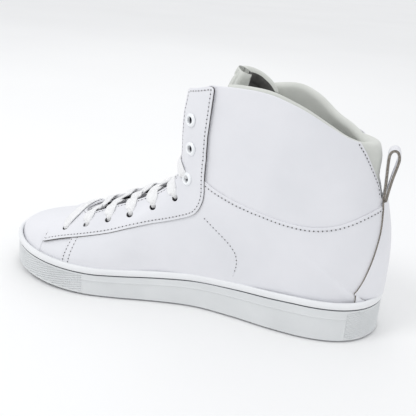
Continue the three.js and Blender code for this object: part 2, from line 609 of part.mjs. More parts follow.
// The tails are tucked inside: down past the tongue's edge, then forward on the sockliner.
function tailRoute(side) {
  const hole = HOLES[LACED_ROWS - 1];
  const insole = (x, inset) => new THREE.Vector3(x, swing(x) + side * (halfWidth(x, side, UPPER_INSET) - inset),
    lastHeight(x) + 8.9);
  return smoothed([at(hole.q, side * hole.s, -6.75), at(hole.q + 0.1, side * (hole.s + 0.05), -6.7),
    at(13.6, side * 0.42, -6.7), at(13.4, side * 0.55, -6.7),
    at(13, side * 0.68, -7), at(12.6, side * 0.8, -7.4), insole(-28, 9), insole(-12, 9.5), insole(8, 10),
    insole(28, 10.5), insole(48, 11), insole(68, 11.5), insole(88, 12), insole(104, 13.5)], 2);
}

function aglet(side) {
  const route = tailRoute(side);
  const end = route[route.length - 1];
  const away = end.clone().sub(route[route.length - 2]).normalize();
  return tube([end.clone().addScaledVector(away, 0.3), end.clone().addScaledVector(away, AGLET_LENGTH / 2),
    end.clone().addScaledVector(away, AGLET_LENGTH)], TAIL_RADIUS, 8);
}

function makeRing(hole, side) {
  const profile = [[2.5, 3.2], [4.4, 3.2], [4.9, 2.3], [3.05, 2.3], [3.05, -5.2], [2.5, -5.2], [2.5, 3.2]];
  const ring = new THREE.LatheGeometry(profile.map(([r, y]) => new THREE.Vector2(r, y)).reverse(), 12);
  return throughHole(ring, hole, side);
}

// ---- Pull loop -------------------------------------------------------------------------
const LOOP_HALF_WIDTH = 6.5;
const LOOP_OUTER = [[-138.9, 103.6], [-138.6, 112], [-138.6, 121], [-139.8, 129], [-139.6, 135.5], [-137, 140],
  [-133, 141.3], [-129.6, 139.2], [-128.7, 134.8], [-130.9, 122.5], [-133.7, 112.5], [-136.5, 104.3]];
const LOOP_INNER = [[-137.3, 107], [-137, 112], [-136.9, 121], [-138.1, 129.2], [-137.9, 134.8], [-136, 138.4],
  [-133, 139.5], [-130.9, 138], [-130.3, 134.8], [-132.5, 122.5], [-135.2, 113], [-136.6, 107.4]];
const makePullTab = () => prism(LOOP_OUTER, -LOOP_HALF_WIDTH, LOOP_HALF_WIDTH)
  .subtract(prism(LOOP_INNER, -LOOP_HALF_WIDTH - 1, LOOP_HALF_WIDTH + 1));

// ---- Assembly --------------------------------------------------------------------------
const shoe = new THREE.Group();

function addPiece(name, geometry, finish) {
  geometry.translate(0, -SOLE_CENTRE_Y, 0);
  const mesh = new THREE.Mesh(geometry, new THREE.MeshStandardMaterial(finish));
  mesh.name = name;
  shoe.add(mesh);
}
const addSolid = (name, solid, finish) => addPiece(name, toGeometry(solid), finish);

addSolid('cupsole', makeCupsole(), SOLE_RUBBER);
addSolid('midsole_foam', makeMidsole(), FOAM);
addSolid('strobel_board', insoleLayer(1, 2.4), BOARD);
addSolid('sockliner', insoleLayer(2.7, 6.8), TEXTILE);
addSolid('toe_puff', makeToePuff(), BOARD);
addSolid('heel_counter', makeHeelCounter(), BOARD);
addSolid('vamp_lining', makeVampLining(), TEXTILE);
addSolid('quarter_lining_left', makeQuarterLining(MEDIAL_SIDE, TOPLINE), TEXTILE);
addSolid('quarter_lining_right', makeQuarterLining(LATERAL_SIDE, LATERAL_TOPLINE), TEXTILE);
addSolid('collar_pad', makeCollarPad(), LINING_LEATHER);
addSolid('toe_cap', makeToeCap(), WHITE_LEATHER);
addSolid('vamp', makeVamp(), WHITE_LEATHER);
addSolid('quarter_left', makeQuarter(MEDIAL_SIDE), WHITE_LEATHER);
addSolid('quarter_right', makeQuarter(LATERAL_SIDE), WHITE_LEATHER);
addSolid('collar_panel_left', makeCollarPanel(MEDIAL_SIDE, TOPLINE), WHITE_LEATHER);
addSolid('collar_panel_right', makeCollarPanel(LATERAL_SIDE, LATERAL_TOPLINE), WHITE_LEATHER);
addSolid('eyestay', makeEyestay(), WHITE_LEATHER);
addSolid('backstay', makeBackstay(), WHITE_LEATHER);
addSolid('pull_tab', makePullTab(), WEBBING);
addSolid('tongue_base', tonguePiece(0, TONGUE_SPLIT - TONGUE_GAP, 7), LINING_LEATHER);
addSolid('tongue_top', tonguePiece(TONGUE_SPLIT + TONGUE_GAP, TONGUE_TOP, 6), LINING_LEATHER);
addSolid('tongue_label', makeTongueLabel(), LABEL);
addPiece('lace', tube(lacedRoute(), LACE_RADIUS, 6), LACE_COTTON);
for (const side of SIDES) {
  const hand = side > 0 ? 'left' : 'right';
  addPiece(`lace_tail_${hand}`, tube(tailRoute(side), TAIL_RADIUS, 8), LACE_COTTON);
  addPiece(`aglet_${hand}`, aglet(side), AGLET_PLASTIC);
  HOLES.slice(6).forEach((hole, k) => addPiece(`eyelet_ring_${hand}_${k + 1}`, makeRing(hole, side), ENAMEL));
}

export default shoe;
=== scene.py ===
"""Right-foot basketball high top: white leather upper on a moulded cup sole, laced through seven rows.

Shape code works in millimetres: X from heel to toe, Y towards the inner (medial) side, Z up.
"""

import math

import bpy
import numpy as np
from mathutils import Matrix, Vector, noise
from mathutils.geometry import delaunay_2d_cdt
from mathutils.kdtree import KDTree


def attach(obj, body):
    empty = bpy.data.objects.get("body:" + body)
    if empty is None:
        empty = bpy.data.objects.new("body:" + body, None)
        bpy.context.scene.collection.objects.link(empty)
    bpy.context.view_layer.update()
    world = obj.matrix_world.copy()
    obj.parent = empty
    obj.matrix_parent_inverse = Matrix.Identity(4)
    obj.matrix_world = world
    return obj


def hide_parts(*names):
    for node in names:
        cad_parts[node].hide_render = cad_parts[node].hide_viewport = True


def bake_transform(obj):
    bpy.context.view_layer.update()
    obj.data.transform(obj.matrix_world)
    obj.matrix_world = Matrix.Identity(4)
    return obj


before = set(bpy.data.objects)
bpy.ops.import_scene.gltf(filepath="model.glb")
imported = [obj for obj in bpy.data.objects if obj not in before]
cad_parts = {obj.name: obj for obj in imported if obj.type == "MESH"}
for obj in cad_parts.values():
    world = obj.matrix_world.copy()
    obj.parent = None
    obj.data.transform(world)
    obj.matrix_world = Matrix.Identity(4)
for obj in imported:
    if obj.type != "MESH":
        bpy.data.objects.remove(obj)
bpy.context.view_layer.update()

MM = 0.001
SOLE_LENGTH = 300.0
SOLE_CENTRE_Y = 2.2
UPPER_INSET = 3.8
HEEL_GROOVE = 25.9
FOREFOOT_GROOVE = 18.2
TOE_SPRING = 4.6
TOE_SWING = 9.1
CUP_FLOOR = 6.0
LACED_ROWS = 7
MEDIAL_SIDE, LATERAL_SIDE = 1, -1


# ---- Camera ------------------------------------------------------------------------------------
CAMERA_AT = (-123.0, 391.5, 239.8)
CAMERA_TARGET = (-10.13, 0.0, 68.08)
CAMERA_ROLL = math.radians(4.78)
CAMERA_LENS = 49.4


def in_metres(points):
    """Millimetre points, moved so that the sole is centred on the X axis, in metres."""
    return (np.asarray(points, float) - [0, SOLE_CENTRE_Y, 0]) * MM


def add_camera():
    place, target = in_metres(CAMERA_AT), in_metres(CAMERA_TARGET)
    ahead = Vector(target - place).normalized()
    level = ahead.cross(Vector((0, 0, 1))).normalized()
    raised = level.cross(ahead)
    right = level * math.cos(CAMERA_ROLL) + raised * math.sin(CAMERA_ROLL)
    up = right.cross(ahead)
    camera = bpy.data.objects.new("camera", bpy.data.cameras.new("camera"))
    camera.data.lens = CAMERA_LENS
    camera.data.sensor_width = 36
    camera.data.clip_start = 0.01
    turn = Matrix((right, up, -ahead)).transposed().to_4x4()
    camera.matrix_world = Matrix.Translation(Vector(place)) @ turn
    bpy.context.collection.objects.link(camera)
    bpy.context.scene.camera = camera


add_camera()


# ---- Interpolation -----------------------------------------------------------------------------
def curve_through(xs, ys, x):
    """Smooth curve through the points (xs, ys)."""
    xs, ys = np.asarray(xs, float), np.asarray(ys, float)
    x = np.clip(np.asarray(x, float), xs[0], xs[-1])
    i = np.clip(np.searchsorted(xs, x, side="left") - 1, 0, len(xs) - 2)
    gap = np.diff(xs)
    rise = np.diff(ys) / gap
    slope = np.empty_like(xs)
    slope[0], slope[-1] = rise[0], rise[-1]
    slope[1:-1] = (rise[:-1] * gap[1:] + rise[1:] * gap[:-1]) / (gap[:-1] + gap[1:])
    t = (x - xs[i]) / gap[i]
    a = (2 * t - 3) * t * t + 1
    b = ((t - 2) * t + 1) * t
    c = (3 - 2 * t) * t * t
    d = (t - 1) * t * t
    return a * ys[i] + b * gap[i] * slope[i] + c * ys[i + 1] + d * gap[i] * slope[i + 1]


def blend(start, end, t):
    return start + (end - start) * np.clip(t, 0, 1)


def ease(t):
    t = np.clip(t, 0, 1)
    return t * t * (3 - 2 * t)


# ---- Sole outline ------------------------------------------------------------------------------
ALONG = [0, 0.012, 0.04, 0.09, 0.16, 0.25, 0.35, 0.45, 0.55, 0.65, 0.73, 0.81, 0.88, 0.935, 0.972, 0.992,
         1]
MEDIAL = [0, 14.7, 26.3, 35.7, 40.3, 39.8, 36.4, 35.3, 40.9, 48.2, 52, 50.5, 43.9, 33.8, 21.7, 11.1, 0]
LATERAL = [0, 14.7, 26.3, 35.7, 41.4, 42.3, 42.3, 43.5, 47.8, 52, 54, 52.5, 46.5, 36.4, 24.2, 13.1, 0]
MEAN_HALF_WIDTH = 45
ALONG_ANGLES = np.arccos(1 - 2 * np.array(ALONG))


def half_width(x, side, inset=0.0):
    reach = SOLE_LENGTH / 2 - inset
    angle = np.arccos(np.clip(-np.asarray(x, float) / reach, -1, 1))
    widths = np.where(np.asarray(side) > 0, curve_through(ALONG_ANGLES, MEDIAL, angle),
                      curve_through(ALONG_ANGLES, LATERAL, angle))
    return np.maximum(widths, 0) * (1 - inset / MEAN_HALF_WIDTH)


def swing(x):
    return TOE_SWING * np.maximum(np.asarray(x, float) / 150, 0) ** 1.5


def spring_at(x):
    return TOE_SPRING * blend(0, 1, (x - 54) / 96) ** 2


def groove_height(x):
    return spring_at(x) + blend(HEEL_GROOVE, FOREFOOT_GROOVE, (x + 90) / 150)


def last_height(x):
    return spring_at(x) + blend(18, 11, (x + 90) / 120)


# ---- Upper surface -----------------------------------------------------------------------------
# Section planes from toe to collar, each from a base point to a ridge point in side view.
BASE_X = [146.2, 145.5, 143.3, 138.5, 129, 114.5, 97, 78, 57, 35, 12, -12, -38, -64, -90, -113, -130,
          -141, -146.2, -147.6, -147.2, -146.2, -143.8, -139.5, -134.3, -127.5, -121, -113]
BASE_Z = [15.4, 15.4, 15.2, 15, 14.4, 13.3, 12.3, 11.6, 11.3, 11.6, 12.4, 13.5, 14.8, 16.2, 17.3, 17.9,
          18, 18.3, 22, 33, 47, 62, 78, 94, 109, 127, 143, 163]
RIDGE_X = [146.2, 145.3, 142, 135.5, 125, 110, 92, 74, 56, 40, 27, 18, 12.5, 10.5, 10.5, 11, 11.5, 11.8,
           12,
           12, 12, 11.5, 11, 10.5, 10, 9, 8, 6]
RIDGE_Z = [24, 29, 33, 36.7, 39.5, 42.8, 48.8, 57.8, 67.5, 75.5, 83, 90.5, 99, 108, 117, 126, 133, 138,
           142, 146, 150, 154, 158, 163, 168, 174, 180, 194]
STATIONS = np.arange(len(BASE_X))
LAST_STATION = len(BASE_X) - 1
HEEL_STATION = 18
TOE_BULGE = [0, 0.3, 0.4, 0.5, 0.6, 0.8, 1, 1.2, 1.5, 1.5]
SHAFT_MEDIAL = [36.6, 34.4, 33.9, 34.6, 35.6, 36.5, 37, 37, 37, 37, 36.8, 36.6, 36.3, 36, 36, 36, 36, 36]
SHAFT_LATERAL = [42, 40, 38.5, 38, 38, 38, 38, 38, 37.4, 37, 36.8, 36.6, 36.2, 35.7, 35.2, 34.7, 34.2,
                 33.7]
FOREPART = np.array(BASE_X[:len(TOE_BULGE)])
WIDTH_MEDIAL = np.concatenate([half_width(FOREPART, 1, UPPER_INSET) + TOE_BULGE, SHAFT_MEDIAL])
WIDTH_LATERAL = np.concatenate([half_width(FOREPART, -1, UPPER_INSET) + TOE_BULGE, SHAFT_LATERAL])
ROUNDNESS = curve_through([0, 3, 7, 8, 11, 14, 27], [2.4, 2.2, 1.72, 1.72, 2.05, 2.25, 2.25], STATIONS)
WIDEST = curve_through([0, 4, 7, 9, 15, 27], [0.45, 0.4, 0.35, 0.35, 0.45, 0.45], STATIONS)
CROWN = 0.6


def surface_point(q, s):
    """q: station number; s: 0 at the ridge, +1 at the medial base, -1 at the lateral base."""
    q, s = np.broadcast_arrays(np.asarray(q, float), np.asarray(s, float))
    base_x, base_z = curve_through(STATIONS, BASE_X, q), curve_through(STATIONS, BASE_Z, q)
    ridge_x, ridge_z = curve_through(STATIONS, RIDGE_X, q), curve_through(STATIONS, RIDGE_Z, q)
    side = np.where(s >= 0, 1.0, -1.0)
    reach = np.hypot(ridge_x - base_x, ridge_z - base_z)
    width = np.where(side > 0, curve_through(STATIONS, WIDTH_MEDIAL, q),
                     curve_through(STATIONS, WIDTH_LATERAL, q))
    width = np.maximum(width, 0)
    foot = np.where(q >= HEEL_STATION, 0, np.minimum(half_width(base_x, side, UPPER_INSET), width))
    power = 2 / curve_through(STATIONS, ROUNDNESS, q)
    widest = curve_through(STATIONS, WIDEST, q) * reach
    t = np.abs(s)
    over = np.clip(t / CROWN, 0, 1) * math.pi / 2
    crown_y = width * np.sin(over) ** power
    crown_h = widest + (reach - widest) * np.maximum(np.cos(over), 0) ** power
    down = np.clip((t - CROWN) / (1 - CROWN), 0, 1)
    bare = np.where(width > 0, 1 - foot / np.maximum(width, 1e-9), 0)
    tuck = bare * bare * (3 - 2 * bare)
    wall_y = foot + (width - foot) * ((1 - tuck) * (1 - down * down) + tuck * np.cos(down * math.pi / 2))
    wall_h = widest * ((1 - tuck) * (1 - down) + tuck * (1 - np.sin(down * math.pi / 2)))
    y = np.where(t <= CROWN, crown_y, wall_y)
    share = np.where(t <= CROWN, crown_h, wall_h) / np.maximum(reach, 1e-9)
    return np.stack([base_x + (ridge_x - base_x) * share, side * y + swing(base_x),
                     base_z + (ridge_z - base_z) * share], -1)


def surface_normal(q, s):
    q, s = np.broadcast_arrays(np.asarray(q, float), np.asarray(s, float))
    step = 1e-3
    q0 = np.maximum(q - step, np.where(q >= HEEL_STATION, HEEL_STATION, 0.02))
    q1 = np.minimum(np.maximum(q + step, 0.05), LAST_STATION)
    middle = np.maximum(q, 0.03)
    along_q = surface_point(q1, s) - surface_point(q0, s)
    along_s = surface_point(middle, np.minimum(s + step, 1)) - surface_point(middle,
                                                                             np.maximum(s - step, -1))
    normal = np.cross(along_s, along_q)
    normal /= np.maximum(np.linalg.norm(normal, axis=-1, keepdims=True), 1e-12)
    on_back_seam = (np.abs(s) > 1 - 1e-6) & (q >= HEEL_STATION)
    normal[..., 1] = np.where(on_back_seam, 0, normal[..., 1])
    return normal / np.linalg.norm(normal, axis=-1, keepdims=True)


def front_chart(uv):
    """Chart whose second coordinate is s itself."""
    return uv[..., 0], uv[..., 1]


def back_chart(uv):
    """Chart that runs across the back seam: second coordinate 0 there, positive on the medial side."""
    w = uv[..., 1]
    return uv[..., 0], np.where(w >= 0, 1 - np.abs(w), np.abs(w) - 1)


def place(uv, chart=front_chart, offset=0.0):
    q, s = chart(np.asarray(uv, float))
    return surface_point(q, s) + surface_normal(q, s) * np.asarray(offset, float)[..., None]


def steps_for(uv, chart, moves):
    """Chart steps that carry the points by these small moves along the surface."""
    uv = np.asarray(uv, float)
    step = 1e-3
    a, b = [(place(uv + np.array(d) * step, chart) - place(uv - np.array(d) * step, chart)) / (2 * step)
            for d in ((1, 0), (0, 1))]
    aa, ab, bb = (a * a).sum(-1), (a * b).sum(-1), (b * b).sum(-1)
    ma, mb = (a * moves).sum(-1), (b * moves).sum(-1)
    det = np.maximum(aa * bb - ab * ab, 1e-6)
    return np.stack([(ma * bb - mb * ab) / det, (mb * aa - ma * ab) / det], -1)


TABLE_Q, TABLE_T = np.meshgrid(np.linspace(0.05, 27, 270), np.linspace(0.02, 1, 80), indexing="ij")


def locate(targets, side, axes=(0, 2), only=None):
    """(q, s) of the surface points on one side with these two coordinates."""
    targets = np.asarray(targets, float)
    table = surface_point(TABLE_Q, side * TABLE_T)
    near = table[..., list(axes)].reshape(-1, 2)
    allowed = np.ones(len(near), bool) if only is None else only(table.reshape(-1, 3))
    found = []
    for target in targets:
        gap = ((near - target) ** 2).sum(-1) + np.where(allowed, 0, 1e9)
        pick = int(np.argmin(gap))
        found.append([TABLE_Q.flat[pick], TABLE_T.flat[pick]])
    found = np.array(found)
    step = 1e-3
    for _ in range(12):
        here = surface_point(found[:, 0], side * found[:, 1])[:, list(axes)]
        by_q = (surface_point(found[:, 0] + step, side * found[:, 1])[:, list(axes)] - here) / step
        by_t = (surface_point(found[:, 0], side * (found[:, 1] - step))[:, list(axes)] - here) / -step
        det = by_q[:, 0] * by_t[:, 1] - by_q[:, 1] * by_t[:, 0]
        det = np.where(np.abs(det) < 1, np.sign(det + 1e-9), det)
        miss = targets - here
        move = np.stack([(miss[:, 0] * by_t[:, 1] - miss[:, 1] * by_t[:, 0]) / det,
                         (by_q[:, 0] * miss[:, 1] - by_q[:, 1] * miss[:, 0]) / det], -1)
        found += np.clip(move, [-0.3, -0.05], [0.3, 0.05])
        found = np.clip(found, [0.03, 0.004], [27, 1])
    return np.stack([found[:, 0], side * found[:, 1]], -1)


def spline(points, steps):
    """Points along a Catmull-Rom curve through the given ones."""
    p = np.asarray(points, float)
    p = np.vstack([2 * p[0] - p[1], p, 2 * p[-1] - p[-2]])
    out = []
    for i in range(1, len(p) - 2):
        for t in np.arange(steps) / steps:
            out.append(0.5 * (2 * p[i] + (p[i + 1] - p[i - 1]) * t
                              + (2 * p[i - 1] - 5 * p[i] + 4 * p[i + 1] - p[i + 2]) * t ** 2
                              + (3 * p[i] - p[i - 1] - 3 * p[i + 1] + p[i + 2]) * t ** 3))
    out.append(p[-2])
    return np.array(out)


def resampled(uv, chart, spacing, closed=False):
    """The chart polyline at even steps of real length."""
    uv = np.asarray(uv, float)
    if closed:
        uv = np.vstack([uv, uv[:1]])
    dense = np.vstack([uv[i] + (uv[i + 1] - uv[i]) * np.arange(8)[:, None] / 8
                       for i in range(len(uv) - 1)]
                      + [uv[-1:]])
    points = place(dense, chart)
    length = np.concatenate([[0], np.cumsum(np.linalg.norm(np.diff(points, axis=0), axis=1))])
    count = max(int(round(length[-1] / spacing)), 2)
    marks = np.linspace(0, length[-1], count + 1)
    out = np.stack([np.interp(marks, length, dense[:, k]) for k in (0, 1)], -1)
    return out[:-1] if closed else out


def moved_sideways(uv, chart, distance, closed=False):
    """The chart polyline moved along the surface, to the left of its direction seen from outside."""
    points = place(uv, chart)
    if closed:
        tangent = np.roll(points, -1, 0) - np.roll(points, 1, 0)
    else:
        tangent = np.gradient(points, axis=0)
    tangent /= np.maximum(np.linalg.norm(tangent, axis=-1, keepdims=True), 1e-9)
    left = np.cross(surface_normal(*chart(np.asarray(uv, float))), tangent)
    return np.asarray(uv, float) + steps_for(uv, chart, left * distance)


def is_inside(points, outline):
    x, y = points[:, 0:1], points[:, 1:2]
    x0, y0 = outline[:, 0], outline[:, 1]
    x1, y1 = np.roll(x0, -1), np.roll(y0, -1)
    crosses = (y0 > y) != (y1 > y)
    slope = (x1 - x0) / np.where(np.abs(y1 - y0) < 1e-12, 1e-12, y1 - y0)
    return (crosses & (x < x0 + slope * (y - y0))).sum(1) % 2 == 1


# ---- Meshes ------------------------------------------------------------------------------------
def make_object(name, points_mm, faces, materials, face_materials=None, uvs=None, sharp=38):
    """A mesh object from millimetre points. uvs holds one pair per point."""
    mesh = bpy.data.meshes.new(name)
    mesh.from_pydata(in_metres(points_mm).tolist(), [], [list(map(int, f)) for f in faces])
    for material in materials:
        mesh.materials.append(material)
    if face_materials is not None:
        mesh.polygons.foreach_set("material_index", np.asarray(face_materials, np.int32))
    if uvs is not None:
        layer = mesh.uv_layers.new(name="length_and_width")
        corner = np.empty(len(mesh.loops), np.int32)
        mesh.loops.foreach_get("vertex_index", corner)
        layer.data.foreach_set("uv", np.asarray(uvs, np.float32)[corner].ravel())
    mesh.shade_smooth()
    mesh.set_sharp_from_angle(angle=math.radians(sharp))
    mesh.validate()
    mesh.update()
    obj = bpy.data.objects.new(name, mesh)
    bpy.context.collection.objects.link(obj)
    return obj


def settle(obj, nodes=(), body="shoe"):
    """Rides the piece on its body and hides the CAD solids that it stands for."""
    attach(obj, body)
    if nodes:
        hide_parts(*nodes)
    return obj


def grid_faces(rows, cols, closed=False, start=0):
    faces = []
    for i in range(rows - 1):
        for j in range(cols if closed else cols - 1):
            k = (j + 1) % cols
            faces.append((start + i * cols + j, start + i * cols + k, start + (i + 1) * cols + k,
                          start + (i + 1) * cols + j))
    return faces


def joined(parts):
    """One point list and face list from several."""
    points, faces, kinds, count = [], [], [], 0
    for p, f, kind in parts:
        points.append(np.asarray(p, float))
        faces.extend([[v + count for v in face] for face in f])
        kinds.extend([kind] * len(f))
        count += len(p)
    return np.vstack(points), faces, kinds


CHART_SCALE = np.array([12.0, 95.0])


def panel(name, outline, materials, inner, outer, chart=front_chart, holes=(), radius=0.6,
          insets=(0.22, 0.6, 1.15), grid=(0.16, 0.0215), relief=None, pillow=False, edge_step=1.3):
    """Leather panel on the upper's surface. inner and outer are offsets, or functions of the chart points.

    The edge is rounded over radius; a pillow is rounded on both faces down to a thin edge.
    """
    outline = resampled(outline, chart, edge_step, closed=True)
    if ((np.roll(outline[:, 0], -1) - outline[:, 0])
        * (np.roll(outline[:, 1], -1) + outline[:, 1])).sum() > 0:
        outline = outline[::-1]
    loops = [outline] + [np.asarray(h, float) for h in holes]
    rim = np.vstack([place(np.vstack([loop, loop[:1]])[i] + (np.vstack([loop, loop[:1]])[i + 1]
                     - np.vstack([loop, loop[:1]])[i]) * np.arange(4)[:, None] / 4, chart)
                     for loop in loops for i in range(len(loop))])
    tree = KDTree(len(rim))
    for k, p in enumerate(rim):
        tree.insert(p, k)
    tree.balance()

    def to_rim(uv):
        return np.array([tree.find(p)[2] for p in place(uv, chart)])

    low, high = outline.min(0), outline.max(0)
    u, v = np.meshgrid(np.arange(low[0], high[0], grid[0]), np.arange(low[1], high[1], grid[1]),
                       indexing="ij")
    v = v + (np.arange(u.shape[0]) % 2)[:, None] * grid[1] / 2
    inside = np.stack([u.ravel(), v.ravel()], -1)
    inside = inside[is_inside(inside, outline)]
    inside = inside[to_rim(inside) > insets[-1] + 0.5]
    rings = []
    for loop in loops:
        for inset in insets:
            for way in (1, -1):
                ring = moved_sideways(loop, chart, way * inset, closed=True)
                ring = ring[is_inside(ring, outline)]
                if len(ring):
                    rings.append(ring[to_rim(ring) > inset * 0.85])
    free = np.vstack([inside] + rings)
    for hole in loops[1:]:
        free = free[~is_inside(free, hole)]
    coords = np.vstack(loops + [free])
    edges, start = [], 0
    for loop in loops:
        edges += [(start + i, start + (i + 1) % len(loop)) for i in range(len(loop))]
        start += len(loop)
    made = delaunay_2d_cdt([Vector(c) for c in coords * CHART_SCALE], edges, [], 0, 1e-5)
    uv = np.array([tuple(c) for c in made[0]]) / CHART_SCALE
    faces = np.array([f for f in made[2]])
    middle = uv[faces].mean(1)
    keep = is_inside(middle, outline)
    for hole in loops[1:]:
        keep &= ~is_inside(middle, hole)
    faces = faces[keep]
    used = np.unique(faces)
    renumber = np.full(len(uv), -1)
    renumber[used] = np.arange(len(used))
    uv, faces = uv[used], renumber[faces]

    d = to_rim(uv)
    drop = radius - np.sqrt(np.maximum(radius ** 2 - np.maximum(radius - d, 0) ** 2, 0))
    out = np.broadcast_to(outer(uv) if callable(outer) else outer, d.shape).astype(float)
    back = np.broadcast_to(inner(uv) if callable(inner) else inner, d.shape).astype(float)
    if pillow:
        full = np.sqrt(np.clip(1 - (1 - np.clip(d / radius, 0, 1)) ** 2, 0.0, 1))
        centre, half = (out + back) / 2, (out - back) / 2
        out, back = centre + half * np.maximum(full, 0.04), centre - half * np.maximum(full, 0.04)
    else:
        out = out - drop
    if relief is not None:
        out = out + relief(uv, d)
    top = place(uv, chart, out)
    bottom = place(uv, chart, back)
    normal = surface_normal(*chart(uv))
    a, b, c = top[faces[:, 0]], top[faces[:, 1]], top[faces[:, 2]]
    flipped = (np.cross(b - a, c - a) * normal[faces[:, 0]]).sum(-1) < 0
    faces[flipped] = faces[flipped][:, ::-1]
    count = len(uv)
    pairs = np.vstack([faces[:, [0, 1]], faces[:, [1, 2]], faces[:, [2, 0]]])
    known = set(map(tuple, pairs.tolist()))
    walls = [(j, i, i + count, j + count) for i, j in known if (j, i) not in known]
    all_faces = faces.tolist() + (faces[:, ::-1] + count).tolist() + walls
    kinds = [0] * (2 * len(faces)) + [1] * len(walls)
    return make_object(name, np.vstack([top, bottom]), all_faces, materials, kinds)


# ---- Materials ---------------------------------------------------------------------------------
class Finish:
    """A small builder for one procedural material. Texture scales are per millimetre."""

    def __init__(self, name, roughness, specular=0.5, **extras):
        self.material = bpy.data.materials.new(name)
        self.material.use_nodes = True
        self.nodes = self.material.node_tree.nodes
        self.links = self.material.node_tree.links
        self.shader = self.nodes["Principled BSDF"]
        self.shader.inputs["Specular IOR Level"].default_value = specular
        self.shader.inputs["Roughness"].default_value = roughness
        for key, value in extras.items():
            self.shader.inputs[key.replace("_", " ")].default_value = value
        self.place = self.nodes.new("ShaderNodeTexCoord").outputs["Object"]
        self.bumps = None

    def stretched(self, source, scale):
        node = self.nodes.new("ShaderNodeMapping")
        node.inputs["Scale"].default_value = scale
        self.links.new(source, node.inputs["Vector"])
        return node.outputs["Vector"]

    def noise(self, per_mm, detail=3.0, source=None, rough=0.5):
        node = self.nodes.new("ShaderNodeTexNoise")
        node.inputs["Scale"].default_value = per_mm / MM
        node.inputs["Detail"].default_value = detail
        node.inputs["Roughness"].default_value = rough
        self.links.new(source or self.place, node.inputs["Vector"])
        return node.outputs["Fac"]

    def cells(self, per_mm, feature="F1", source=None, out="Distance"):
        node = self.nodes.new("ShaderNodeTexVoronoi")
        node.feature = feature
        node.inputs["Scale"].default_value = per_mm / MM
        self.links.new(source or self.place, node.inputs["Vector"])
        return node.outputs[out]

    def waves(self, per_mm, direction, source=None, distortion=0.0):
        node = self.nodes.new("ShaderNodeTexWave")
        node.bands_direction = direction
        node.inputs["Scale"].default_value = per_mm
        node.inputs["Distortion"].default_value = distortion
        self.links.new(source or self.place, node.inputs["Vector"])
        return node.outputs["Fac"]

    def ramp(self, value, low, high, start=0.0, end=1.0):
        node = self.nodes.new("ShaderNodeValToRGB")
        node.color_ramp.elements[0].position = start
        node.color_ramp.elements[1].position = end
        node.color_ramp.elements[0].color = (*low, 1)
        node.color_ramp.elements[1].color = (*high, 1)
        self.links.new(value, node.inputs["Fac"])
        return node.outputs["Color"]

    def spread(self, value, low, high):
        node = self.nodes.new("ShaderNodeMapRange")
        node.inputs["To Min"].default_value = low
        node.inputs["To Max"].default_value = high
        self.links.new(value, node.inputs["Value"])
        return node.outputs["Result"]

    def maths(self, operation, a, b):
        node = self.nodes.new("ShaderNodeMath")
        node.operation = operation
        for socket, value in zip(node.inputs, (a, b)):
            if isinstance(value, (int, float)):
                socket.default_value = value
            else:
                self.links.new(value, socket)
        return node.outputs["Value"]

    def colour(self, value, low, high, start=0.0, end=1.0):
        self.links.new(self.ramp(value, low, high, start, end), self.shader.inputs["Base Color"])

    def roughen(self, value, low, high):
        self.links.new(self.spread(value, low, high), self.shader.inputs["Roughness"])

    def bump(self, height, depth_mm, strength=1.0):
        node = self.nodes.new("ShaderNodeBump")
        node.inputs["Distance"].default_value = depth_mm * MM
        node.inputs["Strength"].default_value = strength
        self.links.new(height, node.inputs["Height"])
        if self.bumps is not None:
            self.links.new(self.bumps, node.inputs["Normal"])
        self.bumps = node.outputs["Normal"]
        self.links.new(self.bumps, self.shader.inputs["Normal"])


def white_leather():
    f = Finish("white_leather", 0.42, Coat_Weight=0.12, Coat_Roughness=0.3)
    f.colour(f.noise(0.02, 4), (0.73, 0.735, 0.765), (0.79, 0.79, 0.82), 0.3, 0.7)
    f.roughen(f.noise(0.09, 4), 0.36, 0.5)
    f.bump(f.noise(0.035, 2), 0.5, 0.5)
    f.bump(f.cells(1.15), 0.05, 0.5)
    f.bump(f.noise(2.6, 4), 0.03, 0.5)
    return f.material


def cut_edge_and_shadow():
    # Partly the leather's dark cut edge and partly painted shadow: darkened to stand in for the shadow
    # cast below the eyestay's edge.
    f = Finish("dark_cut_edge_and_painted_shadow", 0.85, 0.2)
    f.colour(f.noise(1.2, 5), (0.05, 0.048, 0.048), (0.17, 0.16, 0.155), 0.3, 0.75)
    f.bump(f.noise(3.0, 5), 0.12)
    return f.material


def tan_edge():
    f = Finish("grey_tan_cut_edge", 0.85, 0.2)
    f.colour(f.noise(1.0, 5), (0.12, 0.108, 0.092), (0.36, 0.33, 0.29), 0.3, 0.75)
    f.bump(f.noise(2.6, 5), 0.14)
    return f.material


def white_edge():
    f = Finish("painted_edge", 0.55, 0.4)
    f.colour(f.noise(0.5, 4), (0.62, 0.62, 0.64), (0.80, 0.80, 0.82), 0.3, 0.7)
    f.bump(f.noise(2.0, 4), 0.08)
    return f.material


def lining_leather():
    f = Finish("pale_lining_leather", 0.6, 0.4, Sheen_Weight=0.15)
    f.colour(f.noise(0.05, 4), (0.60, 0.615, 0.575), (0.68, 0.69, 0.65), 0.3, 0.7)
    f.roughen(f.noise(0.2, 3), 0.52, 0.68)
    f.bump(f.cells(1.3), 0.1, 0.6)
    f.bump(f.noise(0.08, 3), 0.5, 0.4)
    return f.material


def lining_cloth():
    f = Finish("lining_cloth", 0.9, 0.2, Sheen_Weight=0.3)
    f.colour(f.noise(0.08, 5), (0.56, 0.57, 0.56), (0.66, 0.67, 0.66), 0.3, 0.7)
    weave = f.maths("MULTIPLY", f.waves(170, "X"), f.waves(170, "Z"))
    f.bump(weave, 0.2, 0.7)
    f.bump(f.noise(2.0, 4), 0.1, 0.5)
    return f.material


